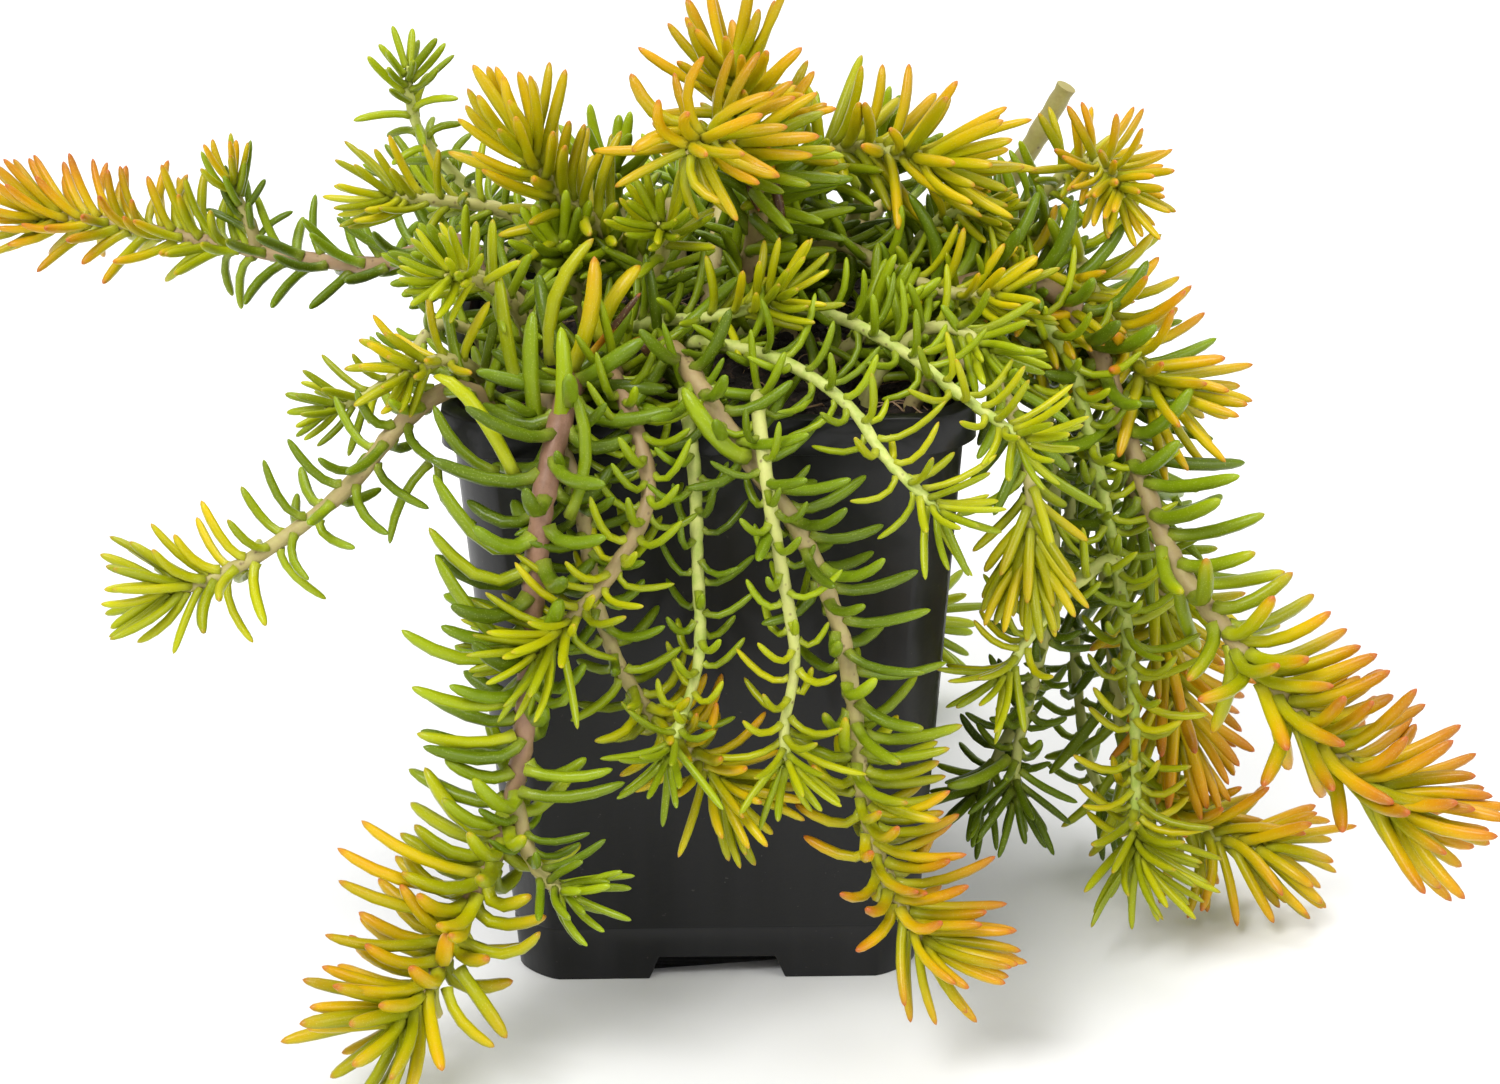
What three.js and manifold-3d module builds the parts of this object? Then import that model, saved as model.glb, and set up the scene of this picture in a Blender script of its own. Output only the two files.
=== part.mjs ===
// Potted angelina stonecrop: a square nursery pot, its soil, and a crown of trailing leafy stems.
// Millimetres, +Z up. The origin is the middle of the pot's foot, on the surface it stands on.
// X runs to the right and Y away from a viewer who stands in front of the pot.

import * as THREE from 'three';
import { mergeVertices } from 'three/addons/utils/BufferGeometryUtils.js';
import Module from 'manifold-3d';

const wasm = await Module();
wasm.setup();

// Pot
const POT_HEIGHT = 110;
const RIM_WIDTH = 90;
const RIM_BAND = 6.5;
const BODY_TOP_WIDTH = 86;
const FOOT_WIDTH = 70;
const CORNER_RADIUS = 7;
const WALL = 1.2;
const FLOOR_UNDERSIDE = 4.6;
const FLOOR_THICKNESS = 1.4;
const NOTCH_WIDTH = 25.5;
const NOTCH_TOP_WIDTH = 20.5;
const NOTCH_HEIGHT = 4.4;
const DRAIN_RADIUS = 4;
const DRAIN_OFFSET = 17;

// Soil, with its crumbs as waves along X, across Y and aslant, in radians a millimetre
const SOIL_EDGE_LEVEL = 103.5;
const SOIL_MOUND = 3;
const SOIL_RELIEF = 0.42;
const CRUMBS_ALONG = 0.55;
const CRUMBS_ACROSS = 0.48;
const CRUMBS_ASLANT = [1.1, -0.9];
const CRUMBS_START = 1.3;
const ASLANT_SHARE = 0.6;
const SOIL_GRID = 5;
const ROOTING_DEPTH = 8;
const HOLE_SIDES = 4;

// Room kept between two touching pieces, and further room between stems, to the pot and the ground
const GAP = 0.3;
const STEM_ROOM = 1.4;
const POT_ROOM = 1.4;
const GROUND_ROOM = 2;
const SOIL_ROOM = 0.3;

// Stems
const BEAD_STEP = 3;
const STEM_SIDES = 4;
const STEM_FULLNESS = 1.1;
const COLLAR = 2.4;
const COLLAR_LEAVES = 3;
const COLLAR_REACH = 3;
const LONGEST_RUN = 10.5;
const BUD = 1.6;
const BARE_FOOT = 3;
const HEAD_REACH = 15;
const BUSH_EASE = 15;
const BEND_ROUNDS = 60;
const EASED_FROM_BEAD = 5;
const EASED_SHARE = 0.4;

// Leaves
const GOLDEN_ANGLE = THREE.MathUtils.degToRad(137.508);
const LEAF_SIDES = 3;
const FULLEST_PART = 0.64;
const LEAF_CYCLE = 6;
const LEAVES_KEPT = [0, 1, 2];
const OWN_STEM_REACH = 7;
const OWN_ROOT_SHARE = 0.15;
const OWN_LEAF_SHARE = 0.9;
const LEAF_FULLNESS = 0.6;
const SHORTER_LEAVES = [1, 0.85, 0.7];
const FACES_TRIED = 6;

// How leaves vary, as shares of their kind's size, radians of turn and degrees of lean,
// and how those of the dense head and of the last few millimetres differ
const habit = {
  turn: 0.3,
  length: [0.8, 1.12],
  width: [0.9, 1.08],
  lean: [26, 50],
  curl: [0.7, 1.3],
  head: { length: 1.0, width: 1.08, lean: 8, spacing: 0.46, lift: 0.4 },
  last: { reach: 3, length: 0.75, lean: 20 },
  bushSpacing: 0.42,
  outward: [0.85, 0.36],
  along: [-0.12, 1],
  sweptFirst: 0.15,
  leastOutward: 0.25,
  bendShare: 0.38,
};

const finishes = {
  plastic: { color: 0x1d1d1f, roughness: 0.55 },
  soil: { color: 0x2a1d15, roughness: 0.95 },
  green: { color: 0x6e9c2c, roughness: 0.5 },
  dark: { color: 0x4b7326, roughness: 0.5 },
  lime: { color: 0x9dbd2e, roughness: 0.5 },
  gold: { color: 0xe0b12c, roughness: 0.5 },
  orange: { color: 0xc98a34, roughness: 0.55 },
  bark: { color: 0x8a6a4c, roughness: 0.85 },
};

// How a kind of stem grows: its radius at the foot and tip, its leaves' length and width, how far
// apart they stand, how strongly they turn up to the light, and how long its bushy upper part is
const growths = {
  thick: { foot: 2.2, tip: 1.5, length: 19.5, width: 3.1, spacing: 2.3, lift: 0.35, bush: 50 },
  golden: { foot: 2.0, tip: 1.4, length: 17.5, width: 2.5, spacing: 2.1, lift: 0.35, bush: 45 },
  green: { foot: 1.8, tip: 1.2, length: 14, width: 2.2, spacing: 2.0, lift: 0.6, bush: 24 },
  fine: { foot: 1.6, tip: 1.1, length: 13.5, width: 1.8, spacing: 1.8, lift: 1.3, bush: 14 },
  dark: { foot: 1.6, tip: 1.1, length: 12, width: 1.9, spacing: 2, lift: 0.8, bush: 16 },
  short: { foot: 1.6, tip: 1.1, length: 12, width: 1.9, spacing: 1.7, lift: 0.55, bush: 14 },
  small: { foot: 1.4, tip: 1.0, length: 9.5, width: 1.8, spacing: 1.5, lift: 0.45, bush: 12 },
  bare: { foot: 1.5, tip: 1.0, length: 0 },
};

// Each stem: where it leaves the soil, and the points it then passes through.
// gold is the length of its golden head, where that is a body of its own colour,
// and sweep is the way that its leaves are drawn to the light or hang.
const stems = [
  { name: 'front_left', growth: 'thick', finish: 'green', gold: 40, foot: [-20, -30],
    sweep: [-0.6, 0, 0.35],
    path: [[-24, -41, 114], [-26, -51, 110], [-28, -60, 98], [-30, -63, 78], [-32, -65, 58],
      [-36, -67, 43], [-42, -70, 31], [-49, -75, 20], [-57, -83, 12]] },
  { name: 'front_left_side', joins: 'front_left', growth: 'short', finish: 'green',
    path: [[-33, -66, 51], [-31, -69, 42], [-27, -73, 38], [-23, -77, 38]] },
  { name: 'front_lime', growth: 'fine', finish: 'lime', foot: [-13, -25],
    path: [[-16, -38, 116], [-12, -50, 111], [-10, -57, 101], [-16, -61, 90], [-23, -64, 83],
      [-30, -67, 77]] },
  { name: 'front_thin', growth: 'fine', finish: 'green', foot: [-4, -32],
    path: [[-3, -42, 114], [-2, -51, 107], [-2, -55, 89], [-2, -58, 73], [-5, -63, 64], [-8, -69, 58]] },
  { name: 'front_pale', growth: 'fine', finish: 'lime', foot: [10, -33],
    path: [[8, -46, 114], [9, -57, 106], [12, -61, 89], [14, -62, 74], [12, -64, 62], [13, -67, 55]] },
  { name: 'front_right', growth: 'golden', finish: 'green', gold: 34, foot: [-9, -17],
    sweep: [0.95, 0, 0.1],
    path: [[-7, -33, 118], [-2, -46, 114], [6, -54, 107], [15, -58, 95], [21, -60, 80], [24, -61, 63],
      [25, -62, 49], [29, -65, 36], [34, -70, 25], [38, -74, 20]] },
  { name: 'front_low', growth: 'green', finish: 'green', gold: 16, foot: [-29, -23],
    path: [[-25, -43, 114], [-21, -53, 101], [-19, -56, 82], [-13, -57, 66], [-3, -58, 55],
      [4, -61, 47.5]] },
  { name: 'rim_lime', growth: 'fine', finish: 'lime', foot: [-2, -14],
    path: [[-3, -27, 119], [7, -36, 120], [16, -43, 118], [24, -51, 114], [29, -57, 108],
      [35, -61, 103], [39, -64, 100]] },
  { name: 'rim_right', growth: 'fine', finish: 'lime', foot: [5, -6],
    path: [[12, -18, 120], [23, -27, 121], [33, -35, 118], [41, -45, 115], [48, -52, 112],
      [53, -57, 110]] },
  { name: 'middle_shoot', growth: 'short', finish: 'lime', foot: [-20, -14],
    path: [[-12, -24, 118], [-2, -28, 120], [6, -31, 123], [13, -35, 128]] },
  { name: 'top_gold', growth: 'golden', finish: 'green', gold: 26, foot: [8, 9], sweep: [0.15, 0, 0.2],
    path: [[11, 6, 121], [11, 0, 136], [8, -5, 148], [5, -9, 159], [4, -10, 164]] },
  { name: 'top_front', growth: 'golden', finish: 'gold', foot: [2, 1], sweep: [0.8, 0, 0.1],
    path: [[7, -4, 123], [9, -12, 138], [4, -20, 151], [-3, -28, 157], [-8, -33, 157]] },
  { name: 'top_right', growth: 'golden', finish: 'green', gold: 20, foot: [16, 13], sweep: [0.5, 0, 0.1],
    path: [[14, 11, 121], [17, 10, 133], [23, 8, 140], [31, 3, 141], [39, -3, 142], [44, -6, 142]] },
  { name: 'right_rosette', growth: 'green', finish: 'green', gold: 14, foot: [34, 30],
    path: [[46, 27, 113], [57, 21, 124], [64, 15, 135], [70, 6, 140], [74, -3, 137]] },
  { name: 'old_stalk', growth: 'bare', finish: 'bark', foot: [36, 35],
    path: [[46, 36, 114], [55, 33, 126], [64, 31, 143]] },
  { name: 'right_small', growth: 'small', finish: 'lime', foot: [27, 4],
    path: [[33, 7, 116], [38, 6, 125], [44, 2, 130], [50, -2, 130]] },
  { name: 'right_middle', growth: 'short', finish: 'lime', foot: [14, 3],
    path: [[15, 4, 119], [22, 0, 125], [31, -7, 123], [41, -14, 121], [51, -19, 122]] },
  { name: 'right_fan', growth: 'golden', finish: 'gold', foot: [30, 13], sweep: [0.1, 0, -0.35],
    path: [[38, 14, 115], [47, 10, 119], [56, 2, 116], [63, -5, 111]] },
  { name: 'right_gold', growth: 'golden', finish: 'green', gold: 24, foot: [37, 10],
    path: [[46, 11, 118], [57, 10, 123], [64, 5, 120], [69, -2, 114], [74, -8, 107], [79, -12, 104],
      [83, -13, 102]] },
  { name: 'left_lime', growth: 'short', finish: 'lime', foot: [-20, 12],
    path: [[-26, 12, 120], [-35, 10, 128], [-44, 7, 131], [-52, 4, 133], [-57, 3, 134]] },
  { name: 'left_upright', growth: 'small', finish: 'green', foot: [-28, 24], sweep: [0, 0, -0.6],
    path: [[-34, 24, 119], [-43, 22, 129], [-49, 19, 138], [-50, 17, 146], [-50, 16, 151]] },
  { name: 'left_gold', growth: 'golden', finish: 'green', gold: 20, foot: [-9, -5], sweep: [-0.1, 0, 0.3],
    path: [[-10, -4, 121], [-18, -8, 132], [-25, -10, 139], [-31, -12, 147], [-34, -13, 153]] },
  { name: 'middle_rosette', growth: 'short', finish: 'lime', foot: [-14, -6],
    path: [[-10, -12, 121], [-7, -20, 133], [-8, -28, 139]] },
  { name: 'left_rosette', growth: 'short', finish: 'lime', foot: [-31, -13],
    path: [[-31, -22, 118], [-34, -30, 127], [-39, -37, 133], [-43, -44, 136]] },
  { name: 'left_knot', growth: 'short', finish: 'lime', foot: [-37, -25],
    path: [[-39, -34, 115], [-44, -41, 120], [-51, -48, 120]] },
  { name: 'left_short', growth: 'small', finish: 'lime', foot: [-37, -9],
    path: [[-46, -15, 115], [-53, -19, 109], [-60, -21, 105], [-66, -22, 104]] },
  { name: 'left_low', growth: 'green', finish: 'lime', foot: [-35, -36],
    path: [[-42, -41, 114], [-51, -45, 110], [-60, -47, 100], [-70, -48, 92], [-80, -49, 86],
      [-89, -50, 83], [-93, -50, 83]] },
  { name: 'far_left', growth: 'green', finish: 'green', gold: 38, foot: [-37, 20], sweep: [0.1, 0, 0.25],
    path: [[-46, 27, 115], [-60, 36, 109], [-76, 44, 108], [-92, 50, 109], [-110, 55, 111],
      [-126, 58, 112]] },
  { name: 'far_left_side', joins: 'far_left', growth: 'short', finish: 'green',
    path: [[-83, 47, 108], [-84, 46, 114], [-86, 45, 119], [-87, 44, 124]] },
  { name: 'right_pale', growth: 'green', finish: 'green', foot: [37, -9], sweep: [0.15, 0, 0],
    path: [[50, -10, 117], [61, -13, 110], [66, -18, 94], [70, -22, 75], [73, -24, 55], [74, -26, 37],
      [74, -29, 23], [76, -32, 16]] },
  { name: 'right_pale_side', joins: 'right_pale', growth: 'fine', finish: 'green',
    path: [[70, -22, 75], [63, -29, 73], [56, -34, 67], [49, -38, 58]] },
  { name: 'right_brown', growth: 'green', finish: 'orange', foot: [35, -27], sweep: [0.05, 0, -1.2],
    path: [[44, -31, 114], [51, -36, 106], [54, -40, 95], [54, -42, 84], [54, -43, 79]] },
  { name: 'right_dark', growth: 'dark', finish: 'dark', foot: [37, -2],
    path: [[48, -3, 114], [57, -5, 104], [60, -8, 84], [60, -9, 62], [57, -10, 46], [54, -11, 32],
      [54, -12, 22]] },
  { name: 'right_dark_side', joins: 'right_dark', growth: 'dark', finish: 'dark',
    path: [[57, -10, 46], [54, -6, 36], [50, -4, 26], [46, -6, 19]] },
  { name: 'right_back', growth: 'dark', finish: 'dark', foot: [36, 19],
    path: [[52, 17, 116], [61, 14, 101], [64, 13, 78], [65, 12, 52], [67, 12, 28], [70, 11, 15],
      [75, 10, 9]] },
  { name: 'right_orange', growth: 'golden', finish: 'orange', foot: [36, 4], sweep: [0.3, 0, -1.1],
    path: [[48, 4, 114], [62, 5, 112], [71, 2, 98], [75, -1, 78], [79, -4, 60], [82, -7, 44],
      [84, -9, 32]] },
  { name: 'far_right', growth: 'thick', finish: 'green', gold: 58, foot: [31, -6], sweep: [0.8, 0, 0.1],
    path: [[46, -6, 118], [60, -6, 117], [68, -10, 106], [74, -18, 90], [80, -28, 76], [90, -38, 65],
      [100, -46, 54], [110, -52, 44], [118, -56, 37]] },
  { name: 'right_low', growth: 'golden', finish: 'green', gold: 28, foot: [29, 22],
    sweep: [0.2, 0, -0.15],
    path: [[48, 26, 114], [60, 24, 100], [69, 17, 74], [72, 8, 46], [77, -1, 27], [87, -8, 19],
      [98, -14, 17], [104, -16, 17]] },
  { name: 'right_bright', growth: 'short', finish: 'lime', foot: [27, -25],
    path: [[35, -25, 117], [42, -29, 119], [48, -34, 115]] },
  { name: 'crown_left', growth: 'short', finish: 'green', foot: [-30, 3],
    path: [[-34, 3, 115], [-40, 0, 120], [-47, -5, 123]] },
  { name: 'crown_middle', growth: 'short', finish: 'green', foot: [-21, -2],
    path: [[-22, -5, 116], [-24, -9, 125], [-25, -14, 131]] },
  { name: 'crown_front', growth: 'short', finish: 'green', foot: [18, -19],
    path: [[22, -20, 112], [27, -20, 116], [31, -18, 120]] },
  { name: 'crown_right', growth: 'short', finish: 'green', foot: [22, 18],
    path: [[24, 21, 117], [28, 21, 128], [33, 19, 136]] },
  { name: 'crown_back', growth: 'short', finish: 'green', foot: [-12, 18],
    path: [[-14, 22, 118], [-17, 24, 129], [-17, 22, 138]] },
  { name: 'back_left', growth: 'green', finish: 'green', foot: [-19, 36],
    path: [[-22, 46, 114], [-25, 57, 106], [-27, 63, 84], [-29, 66, 60], [-31, 71, 38], [-34, 77, 20],
      [-37, 82, 14]] },
  { name: 'back_middle', growth: 'fine', finish: 'green', foot: [-5, 30],
    path: [[-7, 44, 117], [-8, 57, 109], [-8, 63, 91], [-6, 66, 73], [-4, 70, 58]] },
  { name: 'back_right', growth: 'golden', finish: 'green', foot: [10, 35],
    path: [[12, 47, 114], [14, 58, 104], [18, 63, 84], [22, 66, 62], [26, 70, 42], [33, 75, 25],
      [39, 81, 15]] },
  { name: 'back_corner', growth: 'green', finish: 'green', foot: [24, 34],
    path: [[31, 45, 115], [39, 55, 111], [47, 63, 98], [54, 70, 84], [59, 75, 76]] },
  { name: 'back_reach', growth: 'green', finish: 'green', foot: [0, 21],
    path: [[2, 36, 119], [2, 50, 117], [0, 62, 112], [-3, 72, 109], [-5, 80, 110]] },
  { name: 'back_short', growth: 'short', finish: 'lime', foot: [-34, 33],
    path: [[-42, 41, 115], [-49, 48, 117], [-54, 53, 120]] },
];

// Numbers that look drawn at random but come out the same each time
class Draws {
  constructor(seed) {
    this.state = seed * 7919 + 17;
    this.next();
  }

  next() {
    this.state = (this.state * 16807) % 2147483647;
    return this.state / 2147483647;
  }

  between(low, high) {
    return low + (high - low) * this.next();
  }
}

const mix = (a, b, t) => a + (b - a) * t;
const clamp01 = (t) => Math.min(1, Math.max(0, t));
const smooth = (t) => clamp01(t) ** 2 * (3 - 2 * clamp01(t));

function toSolid(geometry) {
  const bare = geometry.clone();
  bare.deleteAttribute('normal');
  bare.deleteAttribute('uv');
  const merged = mergeVertices(bare, 1e-4);
  return new wasm.Manifold(new wasm.Mesh({
    numProp: 3,
    vertProperties: new Float32Array(merged.attributes.position.array),
    triVerts: new Uint32Array(merged.index.array),
  }));
}

function toMesh(name, solid, finish) {
  const { vertProperties, triVerts } = solid.getMesh();
  const geometry = new THREE.BufferGeometry();
  geometry.setAttribute('position', new THREE.BufferAttribute(new Float32Array(vertProperties), 3));
  geometry.setIndex(new THREE.BufferAttribute(new Uint32Array(triVerts), 1));
  geometry.computeVertexNormals();
  const material = new THREE.MeshStandardMaterial({ metalness: 0, ...finishes[finish] });
  const mesh = new THREE.Mesh(geometry, material);
  mesh.name = name;
  return mesh;
}

// Moves each vertex of a geometry by a rule
function reshape(geometry, rule) {
  const places = geometry.attributes.position;
  const vertex = new THREE.Vector3();
  for (let i = 0; i < places.count; i += 1) {
    vertex.fromBufferAttribute(places, i);
    rule(vertex);
    places.setXYZ(i, vertex.x, vertex.y, vertex.z);
  }
  return geometry;
}

// Half the outside width of the pot at a height
function potHalfWidth(z) {
  if (z > POT_HEIGHT - RIM_BAND) return RIM_WIDTH / 2;
  return mix(FOOT_WIDTH, BODY_TOP_WIDTH, clamp01(z / (POT_HEIGHT - RIM_BAND))) / 2;
}

function cavityHalfWidth(z) {
  return mix(FOOT_WIDTH, BODY_TOP_WIDTH, z / (POT_HEIGHT - RIM_BAND)) / 2 - WALL;
}

// A square block with round corners, between two levels, with its half width at each
function roundedBlock(lowHalf, highHalf, low, high, corner = CORNER_RADIUS) {
  const flat = 1 - corner / highHalf;
  const outline = new THREE.Shape();
  outline.absarc(flat, flat, 1 - flat, 0, Math.PI / 2, false);
  outline.absarc(-flat, flat, 1 - flat, Math.PI / 2, Math.PI, false);
  outline.absarc(-flat, -flat, 1 - flat, Math.PI, Math.PI * 1.5, false);
  outline.absarc(flat, -flat, 1 - flat, Math.PI * 1.5, Math.PI * 2, false);
  const block = new THREE.ExtrudeGeometry(outline, { depth: 1, curveSegments: 3, bevelEnabled: false });
  return toSolid(reshape(block, (v) => {
    const half = mix(lowHalf, highHalf, v.z);
    v.set(v.x * half, v.y * half, mix(low, high, v.z));
  }));
}

function makePot() {
  const bandFoot = POT_HEIGHT - RIM_BAND;
  const floorTop = FLOOR_UNDERSIDE + FLOOR_THICKNESS;
  let pot = roundedBlock(potHalfWidth(0), potHalfWidth(bandFoot), 0, bandFoot)
    .add(roundedBlock(RIM_WIDTH / 2, RIM_WIDTH / 2, bandFoot - 0.01, POT_HEIGHT));
  pot = pot.subtract(roundedBlock(cavityHalfWidth(floorTop), cavityHalfWidth(POT_HEIGHT + 1),
    floorTop, POT_HEIGHT + 1, CORNER_RADIUS - WALL));
  pot = pot.subtract(roundedBlock(cavityHalfWidth(-1), cavityHalfWidth(FLOOR_UNDERSIDE),
    -1, FLOOR_UNDERSIDE, CORNER_RADIUS - WALL));

  const notch = new THREE.Shape();
  notch.moveTo(-NOTCH_WIDTH / 2, -1);
  notch.lineTo(NOTCH_WIDTH / 2, -1);
  notch.lineTo(NOTCH_WIDTH / 2, 0);
  notch.lineTo(NOTCH_TOP_WIDTH / 2, NOTCH_HEIGHT);
  notch.lineTo(-NOTCH_TOP_WIDTH / 2, NOTCH_HEIGHT);
  notch.lineTo(-NOTCH_WIDTH / 2, 0);
  for (const turn of [0, Math.PI / 2]) {
    const cutter = new THREE.ExtrudeGeometry(notch, { depth: FOOT_WIDTH * 1.2, bevelEnabled: false });
    cutter.translate(0, 0, -FOOT_WIDTH * 0.6);
    cutter.rotateX(Math.PI / 2);
    cutter.rotateZ(turn);
    pot = pot.subtract(toSolid(cutter));
  }

  const drains = [[0, 0], [1, 1], [-1, 1], [-1, -1], [1, -1]];
  for (const [x, y] of drains) {
    const cutter = new THREE.CylinderGeometry(DRAIN_RADIUS, DRAIN_RADIUS, FLOOR_THICKNESS * 3, 8);
    cutter.rotateX(Math.PI / 2);
    cutter.translate(x * DRAIN_OFFSET, y * DRAIN_OFFSET, FLOOR_UNDERSIDE + FLOOR_THICKNESS / 2);
    pot = pot.subtract(toSolid(cutter));
  }
  return toMesh('pot', pot.simplify(0.02), 'plastic');
}

// The soil's surface: a low mound with crumbs
function soilLevel(x, y) {
  const across = Math.cos((Math.PI * x) / RIM_WIDTH) * Math.cos((Math.PI * y) / RIM_WIDTH);
  const straight = Math.sin(CRUMBS_ALONG * x + CRUMBS_START) * Math.cos(CRUMBS_ACROSS * y);
  const aslant = Math.sin(CRUMBS_ASLANT[0] * x + CRUMBS_ASLANT[1] * y);
  const crumbs = straight + ASLANT_SHARE * aslant;
  return SOIL_EDGE_LEVEL + SOIL_MOUND * Math.max(0, across) + SOIL_RELIEF * crumbs;
}

function makeSoil(stemPaths) {
  const bottom = FLOOR_UNDERSIDE + FLOOR_THICKNESS + GAP;
  const top = SOIL_EDGE_LEVEL;
  const low = cavityHalfWidth(bottom) - GAP;
  const high = cavityHalfWidth(top) - GAP;
  const fill = roundedBlock(low, high + (high - low) * 0.1, bottom, top + (top - bottom) * 0.1,
    CORNER_RADIUS - WALL);
  const surface = new THREE.BoxGeometry(RIM_WIDTH, RIM_WIDTH, top, SOIL_GRID, SOIL_GRID, 1);
  surface.translate(0, 0, top / 2);
  reshape(surface, (v) => {
    if (v.z > 0) v.z = soilLevel(v.x, v.y);
  });
  let soil = fill.intersect(toSolid(surface));
  for (const stem of stemPaths) {
    if (stem.joins) continue;
    const [x, y] = stem.foot;
    const holeRadius = (stem.growth.foot * STEM_FULLNESS + GAP) / Math.cos(Math.PI / HOLE_SIDES);
    const depth = ROOTING_DEPTH + GAP;
    const hole = new THREE.CylinderGeometry(holeRadius, holeRadius, depth * 2, HOLE_SIDES);
    hole.rotateX(Math.PI / 2);
    hole.translate(x, y, stem.beads[0].z - GAP + depth);
    soil = soil.subtract(toSolid(hole));
  }
  return toMesh('soil', soil.simplify(0.02), 'soil');
}

// Points one step apart along a smooth curve through a stem's points
function beadsAlong(points) {
  const curve = new THREE.CatmullRomCurve3(points, false, 'catmullrom', 0.5);
  curve.arcLengthDivisions = points.length * 20;
  const count = Math.max(3, Math.round(curve.getLength() / BEAD_STEP));
  return curve.getSpacedPoints(count);
}

function layStem(row, index) {
  const growth = growths[row.growth];
  const points = row.path.map((p) => new THREE.Vector3(...p));
  if (row.foot) {
    const [x, y] = row.foot;
    const level = soilLevel(x, y);
    points.unshift(new THREE.Vector3(x, y, level - ROOTING_DEPTH), new THREE.Vector3(x, y, level + 2));
  }
  const beads = beadsAlong(points);
  beads.forEach((bead, i) => {
    if (row.foot && i * BEAD_STEP < ROOTING_DEPTH + 1) [bead.x, bead.y] = row.foot;
  });
  const sweep = new THREE.Vector3(...(row.sweep ?? [0, 0, 0]));
  return { ...row, growth, beads, sweep, draws: new Draws(index + 1) };
}

// Radius of a stem at a share of its length
const stemRadius = (stem, share) => mix(stem.growth.foot, stem.growth.tip, share);

// Lifts a point of a stem over the pot's rim or moves it out past the wall, whichever is nearer,
// and keeps it off the soil and the ground
function clearOfPot(bead, radius) {
  const room = radius + GAP + POT_ROOM;
  const side = Math.abs(bead.x) > Math.abs(bead.y) ? 'x' : 'y';
  const reach = Math.abs(bead[side]);
  const inside = reach < cavityHalfWidth(POT_HEIGHT) - room;
  const outward = potHalfWidth(bead.z) + room - reach;
  const upward = POT_HEIGHT + room - bead.z;
  if (inside && bead.z > SOIL_EDGE_LEVEL - room) {
    bead.z = Math.max(bead.z, soilLevel(bead.x, bead.y) + room);
  } else if (outward > 0 && upward > 0) {
    if (upward < outward) bead.z += upward;
    else bead[side] += Math.sign(bead[side]) * outward;
  }
  bead.z = Math.max(bead.z, radius + GROUND_ROOM);
}

// Bends stems that would cross clear of each other and of the pot, with their feet left in place
function bendClear(laid) {
  const beads = [];
  for (const stem of laid) {
    const family = stem.joins ?? stem.name;
    const last = stem.beads.length - 1;
    stem.start = stem.beads.map((bead) => bead.clone());
    stem.beads.forEach((bead, i) => {
      const held = !stem.joins && i * BEAD_STEP < ROOTING_DEPTH + BARE_FOOT;
      beads.push({ bead, family, held, radius: stemRadius(stem, i / last) });
    });
  }
  const push = new THREE.Vector3();
  for (let round = 0; round < BEND_ROUNDS; round += 1) {
    for (let i = 0; i < beads.length; i += 1) {
      for (let j = i + 1; j < beads.length; j += 1) {
        const a = beads[i];
        const b = beads[j];
        const room = a.radius + b.radius + GAP + STEM_ROOM;
        if (a.family === b.family || Math.abs(a.bead.x - b.bead.x) > room) continue;
        push.subVectors(b.bead, a.bead);
        const apart = push.length();
        if (apart >= room) continue;
        push.multiplyScalar((room - apart) / Math.max(apart, 0.01) / 2);
        if (!a.held) a.bead.sub(push);
        if (!b.held) b.bead.add(push);
      }
    }
    for (const stem of laid) easeBends(stem);
    for (const stem of laid.filter((s) => s.joins)) {
      const parent = laid.find((s) => s.name === stem.joins);
      stem.beads[0].copy(nearestOf(parent.beads, stem.start[0]));
    }
    for (const { bead, held, radius } of beads) {
      if (!held) clearOfPot(bead, radius);
    }
  }
}

// Spreads the pushes along a stem, so that it keeps a smooth line
function easeBends(stem) {
  const moved = stem.beads.map((bead, i) => bead.clone().sub(stem.start[i]));
  for (let i = EASED_FROM_BEAD; i < stem.beads.length; i += 1) {
    const after = moved[Math.min(i + 1, moved.length - 1)];
    const even = moved[i - 1].clone().add(after).multiplyScalar(0.5);
    stem.beads[i].add(even.sub(moved[i]).multiplyScalar(EASED_SHARE));
  }
}

function nearestOf(points, target) {
  return points.reduce((best, p) => (p.distanceTo(target) < best.distanceTo(target) ? p : best));
}

// A point and direction on a stem, at a distance from its foot
function placeOn(stem, distance) {
  const last = stem.beads.length - 1;
  const at = Math.min(Math.max(distance / stem.step, 0), last - 1e-6);
  const i = Math.floor(at);
  const point = stem.beads[i].clone().lerp(stem.beads[i + 1], at - i);
  const before = stem.beads[Math.max(i - 1, 0)];
  const after = stem.beads[Math.min(i + 2, last)];
  const tangent = after.clone().sub(before).normalize();
  const side = stem.plane.clone().addScaledVector(tangent, -tangent.dot(stem.plane)).normalize();
  return { point, tangent, side, radius: stemRadius(stem, distance / stem.length) };
}

// Settles the figures that leaves are placed by, once the stem's line is fixed
function settle(stem) {
  const { beads } = stem;
  stem.length = 0;
  stem.plane = new THREE.Vector3();
  for (let i = 1; i < beads.length; i += 1) {
    stem.length += beads[i].distanceTo(beads[i - 1]);
    if (i < 2) continue;
    const before = beads[i - 1].clone().sub(beads[i - 2]);
    stem.plane.add(before.cross(beads[i].clone().sub(beads[i - 1])));
  }
  if (stem.plane.length() < 1) stem.plane.set(1, 0.3, 0);
  stem.plane.normalize();
  stem.step = stem.length / (beads.length - 1);
}

// How far a place belongs to the dense head at the stem's tip, from 0 to 1
const headShare = (stem, distance) => smooth(1 - (stem.length - distance) / HEAD_REACH);
const bushShare = (stem, distance) => smooth((distance - stem.length + stem.growth.bush) / BUSH_EASE);

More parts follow.
